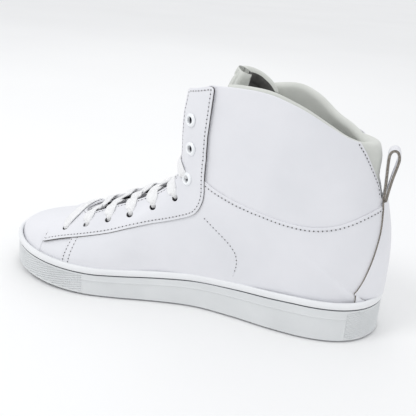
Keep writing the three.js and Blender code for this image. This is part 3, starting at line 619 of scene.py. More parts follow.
def sole_rubber():
    f = Finish("sole_rubber", 0.5, 0.4)
    f.colour(f.noise(0.03, 5), (0.665, 0.68, 0.685), (0.72, 0.735, 0.74), 0.3, 0.7)
    f.roughen(f.noise(0.15, 4), 0.42, 0.6)
    f.bump(f.noise(1.6, 4), 0.04, 0.6)
    f.bump(f.noise(0.05, 2), 0.3, 0.3)
    return f.material


def rim_rubber():
    f = Finish("rim_rubber", 0.45, 0.45)
    f.colour(f.noise(0.03, 5), (0.79, 0.80, 0.81), (0.84, 0.85, 0.86), 0.3, 0.7)
    f.roughen(f.noise(0.15, 4), 0.38, 0.55)
    f.bump(f.noise(1.6, 4), 0.04, 0.5)
    return f.material


def groove_shadow():
    # Painted shade: dark colour for the sole's groove and its bottom bevel, standing in for the shade in
    # the groove and the contact shadow along the bottom edge.
    f = Finish("painted_groove_and_contact_shade", 0.8, 0.2)
    f.colour(f.noise(0.4, 4), (0.16, 0.17, 0.19), (0.24, 0.25, 0.27), 0.3, 0.7)
    f.bump(f.noise(1.6, 4), 0.05)
    return f.material


def lace_cotton():
    f = Finish("lace_cotton", 0.85, 0.25, Sheen_Weight=0.35)
    lengthwise = f.nodes.new("ShaderNodeTexCoord").outputs["UV"]
    f.colour(f.noise(0.3, 5), (0.86, 0.86, 0.865), (0.93, 0.93, 0.93), 0.3, 0.7)
    turned = f.stretched(lengthwise, (1, 1, 1))
    across = f.waves(0.34, "X", turned, 0.6)
    along = f.waves(0.42, "Y", turned, 0.4)
    f.bump(f.maths("MULTIPLY", across, along), 0.28, 0.8)
    f.bump(f.noise(2.5, 4), 0.08, 0.5)
    return f.material


def thread():
    f = Finish("stitching_thread", 0.7, 0.3, Sheen_Weight=0.2)
    f.colour(f.noise(0.6, 3), (0.62, 0.62, 0.65), (0.76, 0.76, 0.78), 0.3, 0.7)
    f.bump(f.noise(4.0, 3), 0.06)
    return f.material


def hole_shadow():
    f = Finish("hole_shadow", 1.0, 0.0)
    f.colour(f.noise(1.5, 3), (0.008, 0.008, 0.012), (0.02, 0.02, 0.028), 0.3, 0.7)
    f.bump(f.noise(3.0, 3), 0.05)
    return f.material


def tongue_lining_and_painted_shade():
    # Partly dark lining cloth and partly painted shade: near-black to stand in for the shade inside the
    # tongue's hollow.
    f = Finish("tongue_lining_and_painted_shade", 0.9, 0.2, Sheen_Weight=0.3)
    f.colour(f.noise(0.12, 4), (0.05, 0.05, 0.048), (0.13, 0.128, 0.122), 0.25, 0.75)
    f.bump(f.cells(1.6), 0.09, 0.6)
    f.bump(f.noise(0.05, 3), 0.6, 0.6)
    return f.material


def needle_hole_shade():
    # Painted shade: near-black colour for the pits at the needle holes, standing in for the dark inside
    # each hole.
    f = Finish("needle_hole_shade", 0.95, 0.1)
    f.colour(f.noise(1.5, 3), (0.05, 0.05, 0.055), (0.16, 0.155, 0.15), 0.3, 0.7)
    f.bump(f.noise(3.0, 3), 0.05)
    return f.material


def enamel():
    f = Finish("ring_enamel", 0.22, 0.5, Coat_Weight=0.4, Coat_Roughness=0.08)
    f.colour(f.noise(0.25, 3), (0.84, 0.86, 0.88), (0.90, 0.915, 0.93), 0.3, 0.7)
    f.roughen(f.noise(0.6, 3), 0.16, 0.3)
    f.bump(f.noise(0.6, 3), 0.03, 0.5)
    return f.material


def aglet_plastic():
    f = Finish("aglet_plastic", 0.25, 0.5, Coat_Weight=0.3)
    f.colour(f.noise(0.3, 3), (0.78, 0.79, 0.80), (0.88, 0.88, 0.89), 0.3, 0.7)
    f.bump(f.noise(0.9, 3), 0.08, 0.5)
    return f.material


def dark_cloth():
    f = Finish("label_cloth", 0.8, 0.2, Sheen_Weight=0.2)
    f.colour(f.noise(0.8, 4), (0.045, 0.045, 0.055), (0.10, 0.10, 0.115), 0.3, 0.7)
    f.bump(f.maths("MULTIPLY", f.waves(320, "X"), f.waves(320, "Z")), 0.15, 0.8)
    return f.material


def fibre_board():
    f = Finish("fibre_board", 0.9, 0.2)
    f.colour(f.noise(0.6, 6), (0.50, 0.46, 0.38), (0.66, 0.62, 0.54), 0.3, 0.7)
    f.bump(f.noise(1.5, 6), 0.15)
    return f.material


def filler_foam():
    f = Finish("filler_foam", 0.9, 0.2)
    f.colour(f.noise(0.4, 4), (0.74, 0.72, 0.65), (0.82, 0.80, 0.74), 0.3, 0.7)
    f.bump(f.cells(1.0), 0.3)
    return f.material


LEATHER = white_leather()
DARK_EDGE_AND_SHADOW = cut_edge_and_shadow()
TAN_EDGE = tan_edge()
PALE_EDGE = white_edge()
PAD_LEATHER = lining_leather()
CLOTH = lining_cloth()
RUBBER = sole_rubber()
RIM_RUBBER = rim_rubber()
GROOVE_AND_CONTACT_SHADE = groove_shadow()
COTTON = lace_cotton()
THREAD = thread()
NEEDLE_HOLE_SHADE = needle_hole_shade()
HOLE_SHADOW = hole_shadow()
TONGUE_LINING_AND_SHADE = tongue_lining_and_painted_shade()
ENAMEL = enamel()
PLASTIC = aglet_plastic()
LABEL_CLOTH = dark_cloth()
BOARD = fibre_board()
FOAM = filler_foam()


# ---- Seam lines, side view ---------------------------------------------------------------------
NOTCH = [(-115.5, 142.3), (-121, 134), (-127.3, 122.5), (-132.2, 112.5), (-135, 104)]
TOPLINE = {1: [(-12, 167.5), (-34, 169.3), (-52, 168.8), (-66, 165.5), (-81, 159.8), (-96, 151.8),
               (-107, 145.8), NOTCH[0]],
           -1: [(-12, 156.5), (-34, 159.5), (-52, 160.5), (-66, 160), (-81, 154.5), (-96, 147.5),
                (-107, 144), NOTCH[0]]}
QUARTER_SEAM = [(-12, 103), (-22, 98), (-39, 92.6), (-58, 88), (-76, 85), (-92, 84), (-107, 86.3),
                (-119, 91), (-129, 96), (-142, 101)]
FACING_BACK = [(-15, 138), (-15, 106), (-16, 91), (-14, 82), (-10, 75.5), (-4, 71.5)]
FACING_FOOT = [(17, 62.5), (37, 56), (53, 50), (73, 43.5), (92, 37.5), (109, 31.5)]
FACING_FRONT = [(110, 35), (107.5, 40), (105, 46)]
VAMP_SEAM = [(111.5, 17), (110.6, 27), (109, 37)]
FACING_TOP = {1: (-17, 168), -1: (-17, 157)}
QUARTER_FRONT = [(92, 14), (88, 28), (84, 44)]
DECORATIVE_ARC = [(-18, 74), (-28, 67), (-36, 61), (-41, 56), (-44, 51), (-45, 43), (-43, 33)]
PAD_FOOT = [(-24, 136), (-50, 128), (-80, 116), (-108, 102), (-130, 88), (-146, 80)]
BACKSTAY_HALF = [(9, 101), (13, 88), (17, 72), (20, 56), (24, 36), (25.4, 23.5)]
THROAT_TOP_Q = {1: 23.2, -1: 21.1}
THROAT_FRONT = 6.15
THROAT_ROUND = 0.9
HOLES = [(5.95, 0.28), (6.95, 0.28), (7.9, 0.28), (8.85, 0.28), (9.95, 0.28), (11.55, 0.295),
         (13.35, 0.28), (15.9, 0.25), (19.8, 0.225)]
FIRST_RINGED = 6


def throat_reach(q):
    q = np.asarray(q, float)
    straight = curve_through([6, 11, 13, 20, 27], [0.165, 0.165, 0.14, 0.14, 0.165], q)
    ahead = (THROAT_FRONT + THROAT_ROUND - q) / THROAT_ROUND
    return np.where(ahead > 0, straight * np.sqrt(np.maximum(1 - ahead ** 2, 0.0)), straight)


def seam(points, side, steps=6):
    return locate(spline(points, steps), side)


def hole_loops(radius, ringed_radius, rows=range(9), sides=(1, -1)):
    loops = []
    for row in rows:
        q, s = HOLES[row]
        r = ringed_radius if row >= FIRST_RINGED else radius
        turn = np.linspace(0, 2 * math.pi, 18, endpoint=False)
        for side in sides:
            centre = np.tile([q, side * s], (len(turn), 1))
            normal = surface_normal(centre[:, 0], centre[:, 1])
            first = np.cross(normal, [0, 0, 1.0])
            first /= np.linalg.norm(first, axis=1, keepdims=True)
            second = np.cross(normal, first)
            moves = r * (np.cos(turn)[:, None] * first + np.sin(turn)[:, None] * second)
            loops.append(centre + steps_for(centre, front_chart, moves))
    return loops


def grain(depth, per_mm, seed):
    """Slow unevenness of the hide, as an offset."""
    def relief(uv, d):
        points = place(uv) * per_mm
        return depth * np.array([noise.noise(Vector(p) + Vector((seed, 0, 0))) for p in points])
    return relief


def facing_edge(side):
    """The eyestay's outer edge from its top to the middle of its front end."""
    back = seam([FACING_TOP[side], *FACING_BACK], side, 4)
    foot = seam(FACING_FOOT, side, 4)
    front = seam(FACING_FRONT, side, 3)
    corner = spline([back[-1], (back[-1] * 0.45 + foot[0] * 0.55), foot[0]], 4)[1:-1]
    over = np.stack([np.full(6, front[-1][0]), np.linspace(front[-1][1], 0, 7)[1:]], -1)
    return np.vstack([back, corner, foot, front, over])


def throat_edge(side, top_q):
    q = np.concatenate([THROAT_FRONT + THROAT_ROUND * (1 - np.cos(np.linspace(0, math.pi / 2, 9))),
                        np.linspace(THROAT_FRONT + THROAT_ROUND, top_q, 50)[1:]])
    return np.stack([q, side * throat_reach(q)], -1)


# ---- Upper panels ------------------------------------------------------------------------------
def add_toe_cap():
    medial, lateral = seam(VAMP_SEAM, 1, 4), seam(VAMP_SEAM, -1, 4)
    ridge_q = (medial[-1][0] + lateral[-1][0]) / 2
    over = [(ridge_q + (medial[-1][0] - ridge_q) * abs(s) ** 2, s)
            for s in np.linspace(medial[-1][1], lateral[-1][1], 30)]
    back = np.vstack([[(medial[0][0], 1.0)], medial, over[1:-1], lateral[::-1], [(lateral[0][0], -1.0)]])
    tip = [(0.04, s) for s in np.linspace(-1, 1, 60)]
    down_lateral = [(q, -1.0) for q in np.linspace(lateral[0][0], 0.04, 12)[1:-1]]
    down_medial = [(q, 1.0) for q in np.linspace(0.04, medial[0][0], 12)[1:-1]]
    obj = panel("toe_cap_leather", np.vstack([back, down_lateral, tip, down_medial]),
                [LEATHER, PALE_EDGE],
                -1.3, 0.25, radius=0.45, grid=(0.11, 0.02), relief=grain(0.18, 0.04, 3.1))
    settle(obj, ["toe_cap"])


def add_vamp():
    front_q, back_q = 4.75, 7.1
    front = [(front_q, s) for s in np.linspace(1, -1, 60)]
    lateral = [(q, -1.0) for q in np.linspace(front_q, back_q, 14)[1:]]
    medial = [(q, 1.0) for q in np.linspace(back_q, front_q, 14)[:-1]]
    q = THROAT_FRONT + THROAT_ROUND * (1 - np.cos(np.linspace(0, math.pi / 2, 9)))
    q = np.append(q, back_q)
    throat_lateral = np.stack([q, -throat_reach(q) - 0.012], -1)[::-1]
    throat_medial = np.stack([q, throat_reach(q) + 0.012], -1)
    outline = np.vstack([front, lateral, throat_lateral[:-1], throat_medial, medial])
    obj = panel("vamp_leather", outline, [LEATHER, PALE_EDGE], -1.5, -0.25, radius=0.4, grid=(0.1, 0.022),
                holes=hole_loops(3.0, 3.0, rows=(0,)), relief=grain(0.15, 0.04, 7.7))
    settle(obj, ["vamp"])


def quarter_outline(side):
    front = seam(QUARTER_FRONT, side, 4)
    top = seam(QUARTER_SEAM, side, 5)
    start_q = float(front[-1][0]) + 0.35
    throat_q = np.linspace(start_q, top[0][0] - 0.3, 40)
    throat = np.stack([throat_q, side * (throat_reach(throat_q) + 0.012)], -1)
    top[-1] = (top[-1][0], side * 1.0)
    seam_q = np.linspace(top[-1][0], HEEL_STATION, 20)[1:]
    foot_q = np.linspace(HEEL_STATION, front[0][0], 70)[1:]
    down = np.stack([np.concatenate([seam_q, foot_q]), np.full(len(seam_q) + len(foot_q), side * 1.0)],
                    -1)
    return np.vstack([front, throat, top, down])


def add_quarter(side, hand):
    obj = panel(f"quarter_{hand}_leather", quarter_outline(side), [LEATHER, PALE_EDGE], -0.5, 0.6,
                radius=0.55, holes=hole_loops(3.0, 3.6, rows=range(1, 6), sides=(side,)),
                relief=grain(0.22, 0.03, 11.0 + side))
    settle(obj, [f"quarter_{hand}"])


def collar_outline(side):
    topline, notch = seam(TOPLINE[side], side, 6), seam(NOTCH, side, 6)
    under = moved_sideways(seam(QUARTER_SEAM, side, 5), front_chart, -side * 7.0)
    under[-1] = (under[-1][0], side * 1.0)
    under[:, 1] = np.clip(under[:, 1], -1, 1)
    throat_top = THROAT_TOP_Q[side] - 0.3
    across = np.stack([np.linspace(throat_top, topline[0][0], 6)[:-1],
                       side * np.linspace(throat_reach(throat_top) + 0.012, abs(topline[0][1]), 6)[:-1]],
                       -1)
    throat_q = np.linspace(under[0][0], throat_top, 36)[:-1]
    throat = np.stack([throat_q, side * (throat_reach(throat_q) + 0.012)], -1)
    return np.vstack([throat, across, topline, notch[1:], [(notch[-1][0] - 0.25, side * 1.0)],
                      under[::-1]])


def add_collar_panel(side, hand):
    obj = panel(f"collar_panel_{hand}_leather", collar_outline(side), [LEATHER, PALE_EDGE], -1.7, -0.5,
                radius=0.6, holes=hole_loops(3.0, 3.6, rows=range(6, 9), sides=(side,)),
                relief=grain(0.3, 0.025, 21.0 + side))
    settle(obj, [f"collar_panel_{hand}"])


def rounded(start, corner, end, steps=6):
    """A corner eased from start to end."""
    t = np.linspace(0, 1, steps)[:, None]
    return (1 - t) ** 2 * start + 2 * t * (1 - t) * corner + t ** 2 * end


def facing_head(side):
    """The facing's top edge, from the throat to its back edge, with both corners rounded."""
    edge, inner = facing_edge(side), throat_edge(side, THROAT_TOP_Q[side])
    at_throat, at_back = inner[-1], edge[0]
    near, far = at_throat * 0.82 + at_back * 0.18, at_throat * 0.18 + at_back * 0.82
    return np.vstack([rounded(inner[-3], at_throat, near), [(near + far) / 2],
                      rounded(far, at_back, at_back * 0.5 + edge[1] * 0.5)])


def eyestay_outline():
    medial, lateral = facing_edge(1), facing_edge(-1)
    inner_medial, inner_lateral = throat_edge(1, THROAT_TOP_Q[1]), throat_edge(-1, THROAT_TOP_Q[-1])
    return np.vstack([medial[1:], lateral[::-1][1:-1], facing_head(-1)[::-1], inner_lateral[::-1][3:],
                      inner_medial[1:-3], facing_head(1)])


def add_eyestay():
    obj = panel("eyestay_leather", eyestay_outline(), [LEATHER, DARK_EDGE_AND_SHADOW], 0.3, 1.9, radius=0.3,
                holes=hole_loops(2.6, 2.9), relief=grain(0.12, 0.04, 31.0), grid=(0.13, 0.018))
    obj.data.materials.append(PALE_EDGE)
    throat = in_metres(np.vstack([place(throat_edge(side, THROAT_TOP_Q[side])) for side in (1, -1)]))
    # Edge walls away from the throat and the toe keep the dark edge material, partly painted shadow below
    # the eyestay's edge; the rest take the pale edge paint.
    for face in obj.data.polygons:
        if face.material_index == 1:
            away = np.linalg.norm(throat - np.array(face.center), axis=1).min()
            over_toe = face.center[0] > 0.1045 and abs(face.center[1]) < 0.03
            face.material_index = 2 if away < 0.004 or over_toe else 1
    settle(obj, ["eyestay"])


def add_painted_hole_shade():
    """Near-black discs a little below the face of each punched hole: painted shade standing in for the
    dark of the open hole.
    """
    turn = np.linspace(0, 2 * math.pi, 16, endpoint=False)
    parts = []
    for row, (q, s) in enumerate(HOLES):
        depth, radius = (0.7, 2.44) if row >= FIRST_RINGED else (-0.3, 2.6)
        for side in (1, -1):
            normal = surface_normal(q, side * s)
            first = np.cross(normal, [0, 0, 1.0])
            first /= np.linalg.norm(first)
            second = np.cross(normal, first)
            disc = surface_point(q, side * s) + radius * (np.cos(turn)[:, None] * first
                                                          + np.sin(turn)[:, None] * second)
            parts.append((np.vstack([disc + normal * depth, disc + normal * (depth - 0.2)]),
                          grid_faces(2, 16, closed=True)
                          + [list(range(16)), [16 + k for k in range(16)][::-1]], 0))
    points, faces, kinds = joined(parts)
    settle(make_object("painted_hole_shade", points, faces, [HOLE_SHADOW], kinds))


def backstay_edge(side, shift=0.0):
    edge = np.array(BACKSTAY_HALF, float)
    targets = spline([(side * (y - shift), z) for y, z in edge], 5)
    found = locate(targets, side, axes=(1, 2), only=lambda p: p[:, 0] < -118)
    return np.stack([found[:, 0], side * (1 - np.abs(found[:, 1]))], -1)


def add_backstay():
    medial, lateral = backstay_edge(1), backstay_edge(-1)
    under_rim = [(17.6, 0.06), (HEEL_STATION + 0.02, 0), (17.6, -0.06)]
    outline = np.vstack([medial[:-2], under_rim, lateral[::-1][2:]])
    obj = panel("backstay_leather", outline, [LEATHER, TAN_EDGE], 0.4, 2.2, chart=back_chart, radius=0.35,
                grid=(0.14, 0.02))
    settle(obj, ["backstay"])


# ---- Lining and padding ------------------------------------------------------------------------
def to_back(qs):
    qs = np.asarray(qs, float)
    return np.stack([qs[:, 0], np.sign(qs[:, 1]) * (1 - np.abs(qs[:, 1]))], -1)


PAD_HEEL_TOP = [(-107, 147.4), (-115.5, 143.6), (-120, 141.5)]
PAD_TOP = {1: [(-24, 169.6), (-34, 170.8), (-52, 170.3), (-66, 166.9), (-81, 161.3), (-96, 153.6),
               *PAD_HEEL_TOP],
           -1: [(-24, 161), (-34, 163), (-52, 166.5), (-66, 166.8), (-81, 161.5), (-96, 151.8),
                *PAD_HEEL_TOP]}


def add_collar_pad():
    tops, feet = {}, {}
    for side in (1, -1):
        tops[side] = to_back(seam(PAD_TOP[side], side, 5))
        feet[side] = to_back(seam(PAD_FOOT, side, 5))
    peak = (tops[1][-1][0] + tops[-1][-1][0]) / 2
    low = (feet[1][-1][0] + feet[-1][-1][0]) / 2
    outline = np.vstack([tops[1], [(peak, 0)], tops[-1][::-1], feet[-1], [(low, 0)], feet[1][::-1]])

    def outer(uv):
        """Flush with the leather where the pad fills the notch at the back, tucked behind it elsewhere."""
        points = place(uv, back_chart)
        edge_x = np.interp(points[:, 2], [p[1] for p in NOTCH][::-1], [p[0] for p in NOTCH][::-1])
        behind = edge_x - points[:, 0]
        risen = ease((behind - 0.3) / 3.5) * ease((points[:, 2] - 101) / 8)
        rim_z = np.where(points[:, 1] > 0, *(np.interp(points[:, 0], [p[0] for p in TOPLINE[side]][::-1],
                                                       [p[1] for p in TOPLINE[side]][::-1])
                                                       for side in (1, -1)))
        above = ease((points[:, 2] - rim_z) / 2.5)
        heel = 4.0 * risen * ease((points[:, 2] - 108) / 16) * np.exp(-(uv[:, 1] / 0.09) ** 2)
        return -1.7 + 2.2 * np.maximum(risen, 0.4 * above) + heel

    def puffs(uv, d):
        points = place(uv, back_chart) * 0.035
        return 0.5 * np.array([noise.noise(Vector(p)) for p in points])

    obj = panel("collar_padding", outline, [PAD_LEATHER, PAD_LEATHER], -8.8, outer, chart=back_chart,
                radius=4.2,
                insets=(0.25, 0.7, 1.4, 2.3, 3.3), grid=(0.14, 0.02), relief=puffs, pillow=True)
    settle(obj, ["collar_pad"])


def add_linings():
    for side, hand in ((1, "left"), (-1, "right")):
        foot = seam(PAD_FOOT, side, 4)
        foot = moved_sideways(foot, front_chart, side * 1.5)
        foot[:, 1] = np.clip(foot[:, 1], -1, 1)
        low_q = np.linspace(foot[-1][0], 8.6, 90)[1:]
        down = np.stack([low_q, np.full(len(low_q), side * 1.0)], -1)
        throat_q = np.linspace(8.6, 21.5, 50)
        throat = np.stack([throat_q, side * (throat_reach(throat_q) + 0.012)], -1)
        obj = panel(f"quarter_lining_{hand}_cloth", np.vstack([throat, foot, down]), [CLOTH, CLOTH], -4.4,
                    -3,
                    radius=0.4, grid=(0.25, 0.035), edge_step=2.0,
                    holes=hole_loops(3.0, 3.4, rows=range(3, 9), sides=(side,)))
        settle(obj, [f"quarter_lining_{hand}"])
    back_q = 8.55
    rim = [(0.3, s) for s in np.linspace(-1, 1, 40)]
    up = [(q, 1.0) for q in np.linspace(0.3, back_q, 40)[1:]]
    down = [(q, -1.0) for q in np.linspace(back_q, 0.3, 40)[:-1]]
    q = np.append(THROAT_FRONT + THROAT_ROUND * (1 - np.cos(np.linspace(0, math.pi / 2, 9))),
                  np.linspace(7.3, back_q, 6))
    medial = np.stack([q, throat_reach(q) + 0.012], -1)[::-1]
    lateral = np.stack([q, -throat_reach(q) - 0.012], -1)[1:]
    obj = panel("vamp_lining_cloth", np.vstack([rim, up, medial, lateral, down]), [CLOTH, CLOTH], -4.4,
                -3,
                radius=0.4, grid=(0.2, 0.035), edge_step=2.0,
                holes=hole_loops(3.0, 3.4, rows=range(0, 3)))
    settle(obj, ["vamp_lining"])


# ---- Stitching ---------------------------------------------------------------------------------
STITCH_PITCH = 2.9
THREAD_RADIUS = 0.33


def stitch_row(uv, chart, offset, closed=False, pitch=STITCH_PITCH):
    """Points and faces of one row of stitches with their needle holes."""
    line = resampled(uv, chart, pitch, closed)
    points, normals = place(line, chart, offset), surface_normal(*chart(line))
    if closed:
        ahead = np.roll(points, -1, 0)
    else:
        ahead, points, normals = points[1:], points[:-1], normals[:-1]
    parts = []
    around = np.linspace(0, 2 * math.pi, 7)[:-1]
    profile = [(0.16, 0.45, -0.35), (0.24, 0.8, -0.05), (0.5, 1.0, 0.1), (0.76, 0.8, -0.05),
               (0.84, 0.45, -0.35)]
    pit_ring = np.linspace(0, 2 * math.pi, 9)[:-1]
    for p, end, n in zip(points, ahead, normals):
        along = end - p
        side = np.cross(n, along)
        side /= max(np.linalg.norm(side), 1e-9)
        rings = np.vstack([p + along * t + n * lift + THREAD_RADIUS * wide
                           * (np.cos(around)[:, None] * side + np.sin(around)[:, None] * n)
                           for t, wide, lift in profile])
        faces = grid_faces(len(profile), len(around), closed=True)
        faces += [list(range(len(around)))[::-1], [4 * len(around) + k for k in range(len(around))]]
        parts.append((rings, faces, 0))
        # A dark capped pit at each needle hole: painted shade of the hole.
        tangent = along / max(np.linalg.norm(along), 1e-9)
        lip = p + 0.5 * (np.cos(pit_ring)[:, None] * tangent + np.sin(pit_ring)[:, None] * side)
        pit = np.vstack([lip + n * 0.02, lip - n * 0.5])
        parts.append((pit, grid_faces(2, len(pit_ring), closed=True)
                      + [list(range(len(pit_ring))),
                         [len(pit_ring) + k for k in range(len(pit_ring))][::-1]], 1))
    return parts


def add_stitches(name, rows):
    """rows: (chart points, chart, offset, closed)"""
    parts = [part for row in rows for part in stitch_row(*row)]
    obj = make_object(name, *joined(parts)[:2], [THREAD, NEEDLE_HOLE_SHADE], joined(parts)[2])
    return settle(obj)


def add_all_stitching():
    ring = moved_sideways(eyestay_outline(), front_chart, -2.1, closed=True)
    over_toe = (ring[:, 0] < 5.9) & (np.abs(ring[:, 1]) < 0.33)
    ring = np.roll(ring, -int(np.flatnonzero(over_toe).max()) - 1, axis=0)[:-int(over_toe.sum())]
    add_stitches("eyestay_stitching", [(ring, front_chart, 1.95)])
    rows = []
    for side in (1, -1):
        seam_line = seam(QUARTER_SEAM, side, 5)
        rows.append((moved_sideways(seam_line[3:-2], front_chart, -side * 2.3), front_chart, 0.8))
        front = seam(QUARTER_FRONT, side, 4)
        for inset in (1.8, 6.3):
            rows.append((moved_sideways(front[2:], front_chart, side * -inset), front_chart, 0.62))
        rows.append((seam(DECORATIVE_ARC, side, 5), front_chart, 0.62))
        notch = seam(NOTCH, side, 5)
        rows.append((moved_sideways(notch, front_chart, -side * 2.6), front_chart, -0.3))
    add_stitches("quarter_stitching", rows)


# ---- Sole --------------------------------------------------------------------------------------
RING_POINTS = 1100
TREAD_START, HEEL_TEXTURE_START = 70.0, -128.0
SOLE_BEVEL = 2.4


def outline_ring(inset, count=RING_POINTS):
    """x, y of the sole outline moved inwards by inset, once round from the heel by the medial side."""
    turn = np.linspace(0, 2 * math.pi, count, endpoint=False)
    inset = np.broadcast_to(inset, turn.shape)
    reach = SOLE_LENGTH / 2 - inset
    x = -reach * np.cos(turn)
    side = np.where(turn <= math.pi, 1.0, -1.0)
    return x, swing(x) + side * half_width(x, side, inset), turn


def wall_relief(x, z, arc):
    """How far the side wall stands out: the fine rib below the groove, and the textured ends."""
    groove = groove_height(x)
    rib_at = groove - blend(7.0, 5.0, (x + 90) / 150)
    plain = ease((x - HEEL_TEXTURE_START) / 0.7) * ease((TREAD_START - x) / 0.7)
    rib = 0.8 * np.exp(-((z - rib_at) / 0.42) ** 2) * plain
    above = ease((z - rib_at) / 0.5)
    below_groove = ease((groove - 1.6 - z) / 0.5) * ease((z - spring_at(x) - 2.2) / 0.5)
    slant = (z - spring_at(x)) * 2 * math.pi / 1.9
    heel = np.abs(np.sin((slant + arc * 0.55) / 2)) ** 1.5
    toe = np.abs(np.sin((slant + arc * 0.75) / 2)) ** 1.5 * (0.75 + 0.25
                                                             * np.abs(np.sin((slant - arc * 1.4) / 2)))
    ends = ease((HEEL_TEXTURE_START - x) / 0.7) * heel + ease((x - TREAD_START) / 0.7) * toe
    return rib - 0.45 * plain * (1 - above) - 0.95 * below_groove * ends


def add_cupsole():
    levels = [(SOLE_BEVEL, lambda x: spring_at(x)), (1.1, lambda x: spring_at(x) + 0.45),
              (0.35, lambda x: spring_at(x) + 1.0), (0.0, lambda x: spring_at(x) + 1.6)]
    wall_steps = 46
    for k in range(1, wall_steps):
        share = k / wall_steps
        levels.append((0.7 * share, lambda x,
                       t=share: spring_at(x) + 1.6 + (groove_height(x) - spring_at(x) - 2.2) * t))
    groove = [(0.75, -0.55), (0.95, -0.47), (2.3, -0.42), (2.3, 0.4), (0.95, 0.45), (0.7, 0.55)]
    band = [(0.5, 0.95), (0.35, 1.6), (0.3, 2.5), (0.38, 3.4), (0.6, 4.2), (0.95, 4.8), (1.4, 5.15),
            (1.9, 5.3),
            (2.5, 5.25), (3.1, 4.9), (3.6, 4.2)]
    for inset, rise in groove + band:
        levels.append((inset, lambda x, r=rise: groove_height(x) + r))
    levels += [(4.1, lambda x: last_height(x) + 1.6), (4.4, lambda x: spring_at(x) + CUP_FLOOR)]
    first_groove = 4 + wall_steps - 1
    x0, y0, turn = outline_ring(0)
    arc = np.concatenate([[0], np.cumsum(np.hypot(np.diff(x0), np.diff(y0)))])
    rings = []
    for k, (inset, height) in enumerate(levels):
        z = height(x0)
        stands = wall_relief(x0, z, arc) if 3 <= k < first_groove else 0
        x, y, _ = outline_ring(inset - stands)
        rings.append(np.stack([x, y, height(x)], -1))
    faces = grid_faces(len(rings), RING_POINTS, closed=True)
    kinds = []
    for k in range(len(rings) - 1):
        # Kind 2, the dark groove material, goes on the bottom bevel and in the groove: painted contact
        # shadow and painted shade in the groove.
        kind = 2 if k < 2 else 0 if k < first_groove + 1 else 2 if k < first_groove + 4 else 1
        kinds += [kind] * RING_POINTS
    count = RING_POINTS
    top = (len(rings) - 1) * count
    for j in range(count // 2):
        a, b = top + j, top + j + 1
        c, d = top + (count - j - 1) % count, top + (count - j) % count
        faces.append([a, d, c, b] if j else [a, c, b])
        kinds.append(0)
    wall = make_object("cupsole_rubber", np.vstack(rings), [f[::-1] for f in faces],
                       [RUBBER, RIM_RUBBER, GROOVE_AND_CONTACT_SHADE],
                       kinds, sharp=35)
    settle(wall, ["cupsole"])
    add_tread()


def add_tread():
    """The walking face: zigzag lands between grooves, with a channel near its edge."""
    along, across = 420, 150
    turn = np.linspace(0.0, math.pi, along)
    x = -(SOLE_LENGTH / 2 - SOLE_BEVEL) * np.cos(turn)
    share = np.linspace(-1, 1, across)
    medial, lateral = half_width(x, 1, SOLE_BEVEL), half_width(x, -1, SOLE_BEVEL)
    y = swing(x)[:, None] + np.where(share > 0, share * medial[:, None], share * lateral[:, None])
    xx = np.repeat(x[:, None], across, 1)
    zigzag = xx + 3.2 * np.abs(((y / 9.0) % 2) - 1)
    wave = np.abs(((zigzag / 5.2) % 1) - 0.5) * 2
    depth = 1.1 * ease((wave - 0.62) / 0.16)
    edge = np.minimum(1 - np.abs(share)[None, :], 1) * np.maximum((medial + lateral)[:, None] / 2, 1)
    depth = depth * ease((edge - 4.5) / 1.2) * ease((149 - np.abs(xx) - 4.5) / 1.2)
    channel = 1.0 * np.exp(-((edge - 4.0) / 0.5) ** 2) * ease((149 - np.abs(xx) - 3) / 1.2)
    z = spring_at(xx) + np.maximum(depth, channel)
    top = np.stack([xx, y, z], -1).reshape(-1, 3)
    lid = np.stack([xx, y, spring_at(xx) + 2.4], -1).reshape(-1, 3)
    faces = grid_faces(along, across)
    shell = [f[::-1] for f in faces]
    obj = make_object("outsole_tread", np.vstack([top, lid]),
                      faces + [[v + len(top) for v in f] for f in shell],
                      [RUBBER], sharp=35)
    settle(obj)


LAYER_INSET = UPPER_INSET + 4.4 + 0.6


def add_sockliner():
    """Removable insole with a raised edge and a soft heel seat."""
    along, across = 150, 60
    turn = np.linspace(0.012, math.pi - 0.012, along)
    x = -(SOLE_LENGTH / 2 - LAYER_INSET) * np.cos(turn)
    share = np.linspace(-1, 1, across)
    medial, lateral = half_width(x, 1, LAYER_INSET), half_width(x, -1, LAYER_INSET)
    y = swing(x)[:, None] + np.where(share > 0, share * medial[:, None], share * lateral[:, None])
    xx = np.repeat(x[:, None], across, 1)
    cupped = 1.6 * np.abs(share)[None, :] ** 4 * ease((60 - xx) / 120)
    seat = -1.0 * np.exp(-((xx + 105) / 28) ** 2 - (y / 20) ** 2)
    roll = -1.2 * ease((np.abs(share)[None, :] - 0.97) / 0.03)
    top = np.stack([xx, y, last_height(xx) + 6.4 + cupped + seat + roll], -1).reshape(-1, 3)
    under = np.stack([xx, y, last_height(xx) + 2.8], -1).reshape(-1, 3)
    faces = grid_faces(along, across)
    flip = [f[::-1] for f in faces]
    n = len(top)
    rim = [i * across for i in range(along)] + [(along - 1) * across + j for j in range(1, across)] \
        + [i * across + across - 1 for i in range(along - 2, -1, -1)] + list(range(across - 2, 0, -1))
    sides = [[rim[k], rim[(k + 1) % len(rim)], rim[(k + 1) % len(rim)] + n, rim[k] + n]
             for k in range(len(rim))]
    obj = make_object("sockliner_cloth", np.vstack([top, under]),
                      flip + [[v + n for v in f] for f in faces] + sides,
                      [CLOTH], sharp=50)
    settle(obj, ["sockliner"])


# ---- Tongue ------------------------------------------------------------------------------------
TONGUE_X = [88, 70, 51.4, 35, 20.6, 8.9, 1.2, -1.6, -4.2, -7.5, -12.5, -18, -24.5]
TONGUE_Z = [39.5, 49, 58.2, 65.6, 73.2, 82.4, 94.3, 107, 120, 135, 150, 165, 180]
TONGUE_T = np.arange(len(TONGUE_X))
TONGUE_TOP = 12.0
WING_BEND = 1.45


